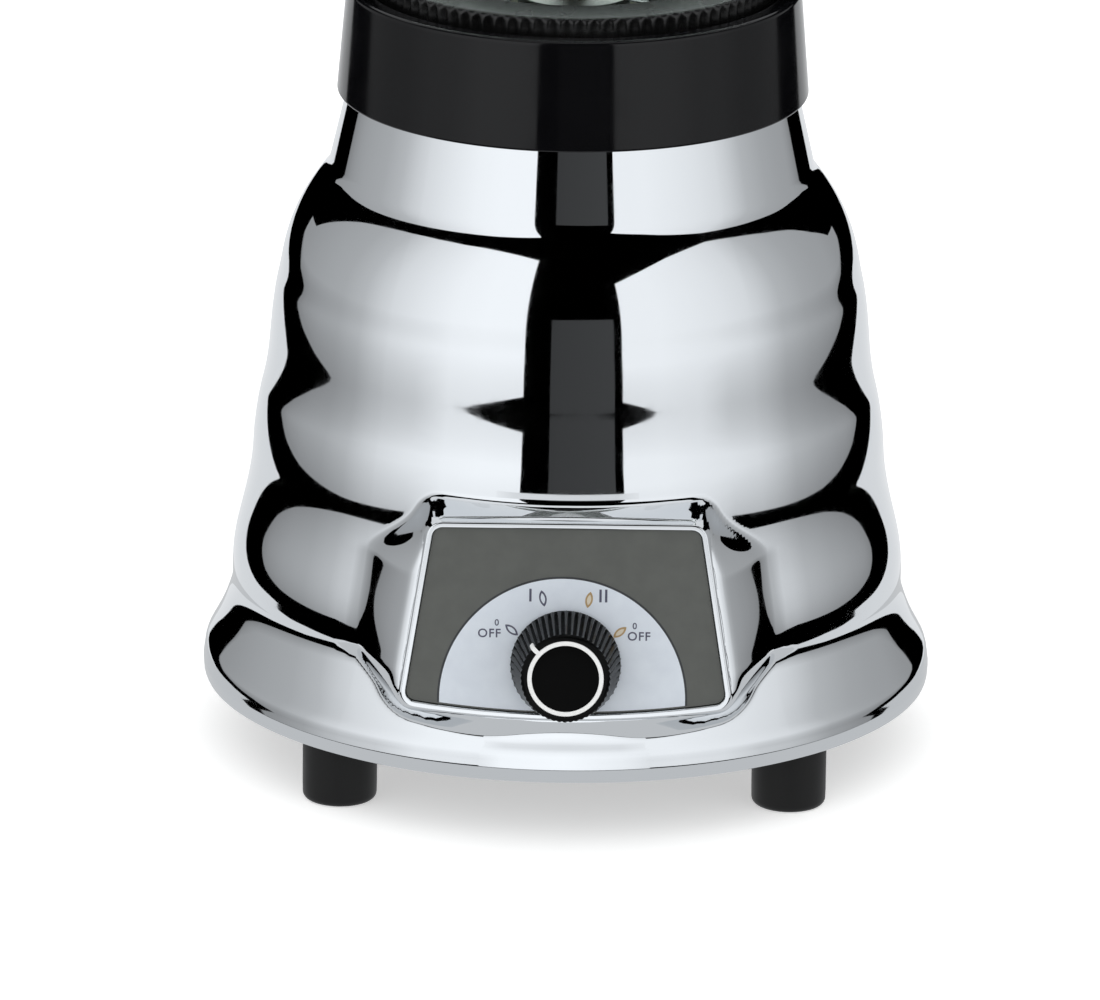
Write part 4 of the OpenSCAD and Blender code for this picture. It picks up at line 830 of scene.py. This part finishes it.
def makeJar():
    j = jar
    bm = bmesh.new()
    lathe(bm, jarProfile(), 160, closed=True)
    bmesh.ops.remove_doubles(bm, verts=bm.verts[:], dist=0.003)
    for vert in bm.verts:
        vert.co = pullSpout(vert.co)
    bmesh.ops.recalc_face_normals(bm, faces=bm.faces[:])
    bodyPiece = linked("jarBody", meshFrom("jarBody", bm))
    # the handle is a strap swept down a bent path, with its ends in the wall
    path = softCorners([(58.6, j["handleTop"], 0), (87.4, j["handleTop"], 17), (81.0, j["handleLow"], 17),
                        (49.5, j["handleLow"], 0)], False, 9, False)
    bm = bmesh.new()
    thick, wide, edge = j["handleThick"] / 2, j["handleWide"] / 2, 4.2
    section = softCorners([(-thick, -wide, edge), (thick, -wide, edge), (thick, wide, edge),
                           (-thick, wide, edge)], True, 4, False)
    loops = []
    for i, spot in enumerate(path):
        ahead = path[min(i + 1, len(path) - 1)] - path[max(i - 1, 0)]
        across = Vector((-ahead.y, ahead.x)).normalized()
        loops.append(loopOf(bm, [(spot.x + across.x * t, w, spot.y + across.y * t) for t, w in section]))
    bridgeLoops(bm, loops)
    bmesh.ops.contextual_create(bm, geom=loops[0])
    bmesh.ops.contextual_create(bm, geom=loops[-1])
    bmesh.ops.recalc_face_normals(bm, faces=bm.faces[:])
    strapPiece = linked("strap", meshFrom("strap", bm))
    join = bodyPiece.modifiers.new("join", "BOOLEAN")
    join.operation, join.solver, join.object = "UNION", "EXACT", strapPiece
    whole = bakedMesh(bodyPiece)
    bpy.data.objects.remove(bodyPiece)
    bpy.data.objects.remove(strapPiece)
    bm = bmesh.new()
    bm.from_mesh(whole)
    bpy.data.meshes.remove(whole)
    finishPiece("glassJar", bm, "jar", [glass], 50, ["jar_glass"])


makeJar()

scale = {
    "angle": -150.0, "lines": [(1, 248), (2, 266), (3, 284), (4, 301), (5, 318)],
    "long": 12.0, "short": 7.0, "thick": 0.7, "proud": 0.12, "digit": 5.0,
}


def jarRadius(z):
    a, b = jar["knots"]
    return curveBetween(a, b, (z - a[0]) / (b[0] - a[0]))[0]


def onJar(along, z):
    # wraps a flat mark round the jar's wall
    radius = jarRadius(z)
    a = math.radians(scale["angle"]) + along / radius
    radius += scale["proud"]
    return Vector((radius * math.cos(a), radius * math.sin(a), z))


def makeScale():
    bm = bmesh.new()
    for number, z in scale["lines"]:
        for height, length in ((z, scale["long"]), (z - 9, scale["short"])):
            strip = bmesh.ops.create_grid(bm, x_segments=8, y_segments=1, size=0.5)["verts"]
            bmesh.ops.scale(bm, vec=(length, scale["thick"], 1), verts=strip)
            bmesh.ops.translate(bm, vec=(length / 2, 0, 0), verts=strip)
            for vert in strip:
                vert.co = onJar(vert.co.x, height + vert.co.y)
        letters = wordMesh(str(number), scale["digit"], 0.0)
        for vert in letters.verts:
            vert.co = onJar(vert.co.x + scale["long"] + 4, z + vert.co.y)
        digit = meshFrom("digit", letters)
        bm.from_mesh(digit)
        bpy.data.meshes.remove(digit)
    bmesh.ops.recalc_face_normals(bm, faces=bm.faces[:])
    finishPiece("jarScale", bm, "jar", [scaleInk], 30)


makeScale()

lid = {
    "radius": 66.0, "low": 367.1, "high": 373.1, "plug": 57.5, "plugIn": 54.5, "plugLow": 355.8,
    "hole": 26.0, "well": 29.0, "tab": [(-14, -60, 0), (-11, -76, 5), (11, -76, 5), (14, -60, 0)],
}


def makeLid():
    d = lid
    bm = bmesh.new()
    profile = softCorners([
        (d["hole"], d["high"], 1.2), (d["hole"], d["plugLow"], 0.5), (d["well"], d["plugLow"], 0.5),
        (d["well"], d["low"] - 0.2, 0.6), (d["plugIn"], d["low"] - 0.2, 0.8),
        (d["plugIn"], d["plugLow"], 0.8), (d["plug"] - 0.5, d["plugLow"], 0.8),
        (d["plug"] - 0.5, d["plugLow"] + 2.2, 0),
        (d["plug"], d["plugLow"] + 2.8, 0.3), (d["plug"], d["plugLow"] + 3.8, 0.3),
        (d["plug"] - 0.5, d["plugLow"] + 4.4, 0), (d["plug"] - 0.5, d["plugLow"] + 6.6, 0),
        (d["plug"], d["plugLow"] + 7.2, 0.3), (d["plug"], d["low"], 0.6),
        (d["radius"], d["low"], 0.9), (d["radius"], d["high"], 2.2), (d["radius"] - 7.5, d["high"], 0.8),
        (d["radius"] - 8.5, d["high"] - 0.8, 0.8), (d["hole"] + 8.0, d["high"] - 0.8, 0.8),
        (d["hole"] + 7.0, d["high"], 0.8)], True, 5)
    lathe(bm, profile, 192, closed=True)
    finishPiece("jarLid", bm, "lid", [lidBlack], 40, ["jar_lid"])
    # the finger tab stands out over the rim
    bm = bmesh.new()
    outline = softCorners(d["tab"], True, 6)
    face = bm.faces.new([bm.verts.new((x, y, d["low"] + 1.0)) for x, y in outline])
    grown = bmesh.ops.extrude_face_region(bm, geom=[face])
    top = [g for g in grown["geom"] if isinstance(g, bmesh.types.BMVert)]
    bmesh.ops.translate(bm, vec=(0, 0, 4.0), verts=top)
    bmesh.ops.recalc_face_normals(bm, faces=bm.faces[:])
    edges = [e for e in bm.edges if e.calc_face_angle(0) > math.radians(50)]
    bmesh.ops.bevel(bm, geom=edges, offset=0.9, segments=3, affect="EDGES", profile=0.5, material=-1)
    finishPiece("lidTab", bm, "lid", [lidBlack], 40)


makeLid()

cap = {
    "low": 355.1, "rest": 373.4, "high": 388.4, "radius": 25.5, "flange": 29.5, "cavity": 19.6,
    "roof": 2.4, "grips": 24, "gripDepth": 0.5,
}


def makeCap():
    c = cap
    bm = bmesh.new()
    profile = softCorners([
        (c["cavity"], c["low"], 0.8), (c["radius"], c["low"], 0.8), (c["radius"], c["rest"], 0.2),
        (c["flange"], c["rest"], 0.6), (c["flange"], c["rest"] + 3, 1.0),
        (c["radius"] - 2, c["rest"] + 5, 1.5), (c["radius"] - 2.6, c["rest"] + 8, 0),
        (c["radius"] - 3.2, c["high"] - 3, 0),
        (c["radius"] - 4.0, c["high"], 2.0), (0, c["high"], 0), (0, c["high"] - c["roof"], 0),
        (c["cavity"], c["high"] - c["roof"], 2.0)], True, 5)
    lathe(bm, profile, 192)
    bmesh.ops.remove_doubles(bm, verts=bm.verts[:], dist=0.003)
    lathe(bm, [profile[-1], profile[0]], 192)
    bmesh.ops.remove_doubles(bm, verts=bm.verts[:], dist=0.003)
    for vert in bm.verts:
        x, y, z = vert.co
        radius = math.hypot(x, y)
        if radius > c["cavity"] + 1 and z > c["rest"] + 5:
            wave = 0.5 + 0.5 * math.cos(math.atan2(y, x) * c["grips"])
            fade = smoothStep((z - c["rest"] - 5) / 1.5) * smoothStep((c["high"] - 1 - z) / 2)
            shrink = 1 - c["gripDepth"] * (1 - wave) * fade / radius
            vert.co.x, vert.co.y = x * shrink, y * shrink
    finishPiece("fillerCap", bm, "filler_cap", [clearPlastic], 40, ["filler_cap"])


makeCap()
print("jar, lid and cap done")


# ------- stage -------

studio = {
    # panels of light round the object: (azimuth, lower edge, upper edge, glow) from one end to the other
    "far": 4.0,
    "left": [(-141, 0.5, 5, 0.34), (-134, -5.5, 7, 0.36), (-124, -8.5, 17, 0.4), (-113, -10.3, 26.5, 0.44),
             (-100, -11.3, 34.5, 0.48), (-88, -11.7, 40, 0.58), (-74, -11.2, 45, 0.84),
             (-60, -10.2, 48.5, 0.98), (-46, -9.1, 51, 1.1), (-33, -7.8, 51.5, 1.14), (-17, -5.5, 50, 1.14)],
    "right": [(20, -6.5, 36, 1.06), (35, -8.7, 42, 1.06), (50, -9.6, 45.5, 1.0), (62, -10.4, 46, 0.94),
              (75, -11.2, 45, 0.84), (90, -11.8, 39, 0.56), (104, -11.6, 31, 0.46), (115, -10.4, 23.5, 0.42),
              (125, -8.5, 14, 0.4), (134, -5.5, 6, 0.36), (141, 0.5, 4, 0.34)],
    "high": [(112, 38, 80, 0.8), (140, 30, 82, 0.8), (180, 28, 84, 0.8), (220, 30, 82, 0.8),
             (248, 38, 80, 0.8)],
    "overhead": [(-112, 64, 84, 0.9), (-60, 64, 86, 0.9), (0, 64, 86, 0.9), (60, 64, 86, 0.9),
                 (112, 64, 84, 0.9)],
    "low": [(78, -60, -21.5, 0.74), (84, -60, -20.3, 0.74), (100, -60, -18.3, 0.76), (119, -60, -16.4, 0.78),
            (131, -60, -14.8, 0.8), (140, -60, -12.6, 0.8), (150, -60, -9.8, 0.8), (165, -60, -8.8, 0.84),
            (180, -60, -8.5, 0.84), (195, -60, -8.8, 0.84), (210, -60, -9.8, 0.8), (220, -60, -12.6, 0.8),
            (229, -60, -14.8, 0.8), (241, -60, -16.4, 0.78), (260, -60, -18.3, 0.76), (276, -60, -20.3, 0.74),
            (282, -60, -21.5, 0.74)],
    "grey": [(-7, -8, 14, 0.05), (17, -8, 14, 0.06)],
    # a small card close in front fills the flare under the dial
    "near": 0.168, "nearHeight": 0.03,
    "fill": [(-19, -8, 22, (0.9, 1.12, 1.14, 1.08, 1.0)), (-14, -8, 22, (1.14, 1.18, 1.12, 0.92, 0.84)),
             (0, -8, 22, (1.18, 1.2, 1.12, 0.88, 0.8)), (13, -8, 22, (1.02, 1.1, 1.06, 0.87, 0.79)),
             (19, -8, 22, (0.85, 1.02, 1.06, 1.0, 0.95))],
    # the side panels fade towards their lower edges, in front less than at the sides
    "fade": 0.68, "frontFade": 0.85, "front": 55,
    "tableRadius": 0.18, "tableGlow": 0.62, "skyFill": 1.05,
}


def direction(azimuth, elevation):
    # azimuth 0 faces the camera, and grows towards +X
    a, e = math.radians(azimuth), math.radians(elevation)
    return Vector((math.sin(a) * math.cos(e), -math.cos(a) * math.cos(e), math.sin(e)))


def glowing(name, bm):
    # a sheet of light that only mirrors and matte surfaces see
    mat = bpy.data.materials.new(name)
    tree = blankTree(mat)
    level = addNode(tree, "ShaderNodeAttribute", {"attribute_name": "glow"})
    light = addNode(tree, "ShaderNodeEmission", {"Color": linear("#FBFDFF")},
                    {"Strength": level.outputs["Fac"]})
    addNode(tree, "ShaderNodeOutputMaterial", {}, {"Surface": light.outputs[0]})
    obj = linked(name, meshFrom(name, bm))
    obj.data.materials.append(mat)
    obj.visible_camera = False
    obj.visible_transmission = False
    obj.visible_shadow = False
    return obj


def makeLightPanel(name, edge, distance, height=0.09, rows=12):
    bm = bmesh.new()
    layer = bm.verts.layers.float.new("glow")
    columns = []
    for azimuth, low, high, glow in edge:
        steps = glow if isinstance(glow, tuple) else (glow, glow)
        column = []
        for k in range(rows + 1):
            toward = direction(azimuth, low + (high - low) * k / rows)
            vert = bm.verts.new(toward * distance + Vector((0, 0, height)))
            spot = k / rows * (len(steps) - 1)
            first = min(int(spot), len(steps) - 2)
            vert[layer] = steps[first] + (steps[first + 1] - steps[first]) * (spot - first)
            column.append(vert)
        columns.append([bm.edges.new(pair) for pair in zip(column, column[1:])])
    for a, b in zip(columns, columns[1:]):
        bmesh.ops.bridge_loops(bm, edges=a + b)
    return glowing(name, bm)


for side in ("left", "right"):
    faded = []
    for a, low, high, glow in studio[side]:
        fade = studio["frontFade"] if abs(a) < studio["front"] else studio["fade"]
        faded.append((a, low, high, (fade * glow, glow, glow, glow, glow)))
    makeLightPanel(side + "Panel", faded, studio["far"])
for side in ("high", "overhead", "low", "grey"):
    makeLightPanel(side + "Panel", studio[side], studio["far"])
makeLightPanel("fillCard", studio["fill"], studio["near"], studio["nearHeight"]).visible_diffuse = False


def makeTableGlow():
    # the pale table close round the feet, for mirrors only
    bm = bmesh.new()
    layer = bm.verts.layers.float.new("glow")
    disc = bmesh.ops.create_circle(bm, cap_ends=True, segments=96, radius=studio["tableRadius"])
    for vert in disc["verts"]:
        vert[layer] = studio["tableGlow"]
        vert.co.z = -0.0002
    glowing("tableGlow", bm).visible_diffuse = False


makeTableGlow()


def seenStraight(tree, rays):
    # 1 where the camera looks straight at it or through glass
    seen = addNode(tree, "ShaderNodeMath", {"operation": "MAXIMUM"}, {0: rays.outputs["Is Camera Ray"],
                                                                      1: rays.outputs["Is Transmission Ray"]})
    return seen.outputs[0]


def makeFloor():
    bm = bmesh.new()
    bmesh.ops.create_grid(bm, x_segments=1, y_segments=1, size=9)
    mat = bpy.data.materials.new("paperSweep")
    tree = blankTree(mat)
    coords = addNode(tree, "ShaderNodeTexCoord")
    fibre = grains(tree, 2, 3.0, coords.outputs["Object"])
    paper = addNode(tree, "ShaderNodeBsdfDiffuse", {"Color": linear("#F2F2F1")},
                    {"Normal": bumpFrom(tree, fibre, 0.05, 0.1)})
    # it is seen as white, with the object's shadow still in it
    seen = seenStraight(tree, addNode(tree, "ShaderNodeLightPath"))
    part = addNode(tree, "ShaderNodeMath", {"operation": "MULTIPLY", 1: 0.5}, {0: seen})
    white = addNode(tree, "ShaderNodeEmission", {"Color": (1, 1, 1, 1)}, {"Strength": part.outputs[0]})
    both = addNode(tree, "ShaderNodeAddShader", {}, {0: paper.outputs[0], 1: white.outputs[0]})
    addNode(tree, "ShaderNodeOutputMaterial", {}, {"Surface": both.outputs[0]})
    floor = linked("floor", meshFrom("floor", bm))
    floor.data.materials.append(mat)
    floor.visible_glossy = False


makeFloor()


def makeWorld():
    # white where it is seen, soft light for matte surfaces, and black for mirrors between the panels
    scene.world = bpy.data.worlds.new("studioWorld")
    tree = blankTree(scene.world)
    rays = addNode(tree, "ShaderNodeLightPath")
    seen = seenStraight(tree, rays)
    matte = addNode(tree, "ShaderNodeMath", {"operation": "SUBTRACT", 0: 1.0},
                    {1: rays.outputs["Is Glossy Ray"]})
    fill = addNode(tree, "ShaderNodeMath", {"operation": "MULTIPLY", 1: studio["skyFill"]},
                   {0: matte.outputs[0]})
    white = addNode(tree, "ShaderNodeBackground", {"Color": (1, 1, 1, 1), "Strength": 1.0})
    soft = addNode(tree, "ShaderNodeBackground", {"Color": (1, 1, 1, 1)}, {"Strength": fill.outputs[0]})
    mix = addNode(tree, "ShaderNodeMixShader", {}, {0: seen, 1: soft.outputs[0], 2: white.outputs[0]})
    addNode(tree, "ShaderNodeOutputWorld", {}, {"Surface": mix.outputs[0]})


makeWorld()

eye = {"place": (0.0, -2868.9, 977.1), "target": (-4.65, 0.0, 62.8), "roll": 0.7, "lens": 375.6}
camera = bpy.data.cameras.new("camera")
camera.lens = eye["lens"]
camera.sensor_width = 36
camera.clip_start, camera.clip_end = 0.1, 60
cameraPiece = linked("camera", camera)
cameraPiece.location = Vector(eye["place"]) * mm
aim = (Vector(eye["target"]) - Vector(eye["place"])).to_track_quat("-Z", "Y")
cameraPiece.rotation_euler = aim.to_euler()
cameraPiece.rotation_euler.rotate_axis("Z", math.radians(eye["roll"]))
scene.camera = cameraPiece
scene.view_settings.view_transform = "Standard"
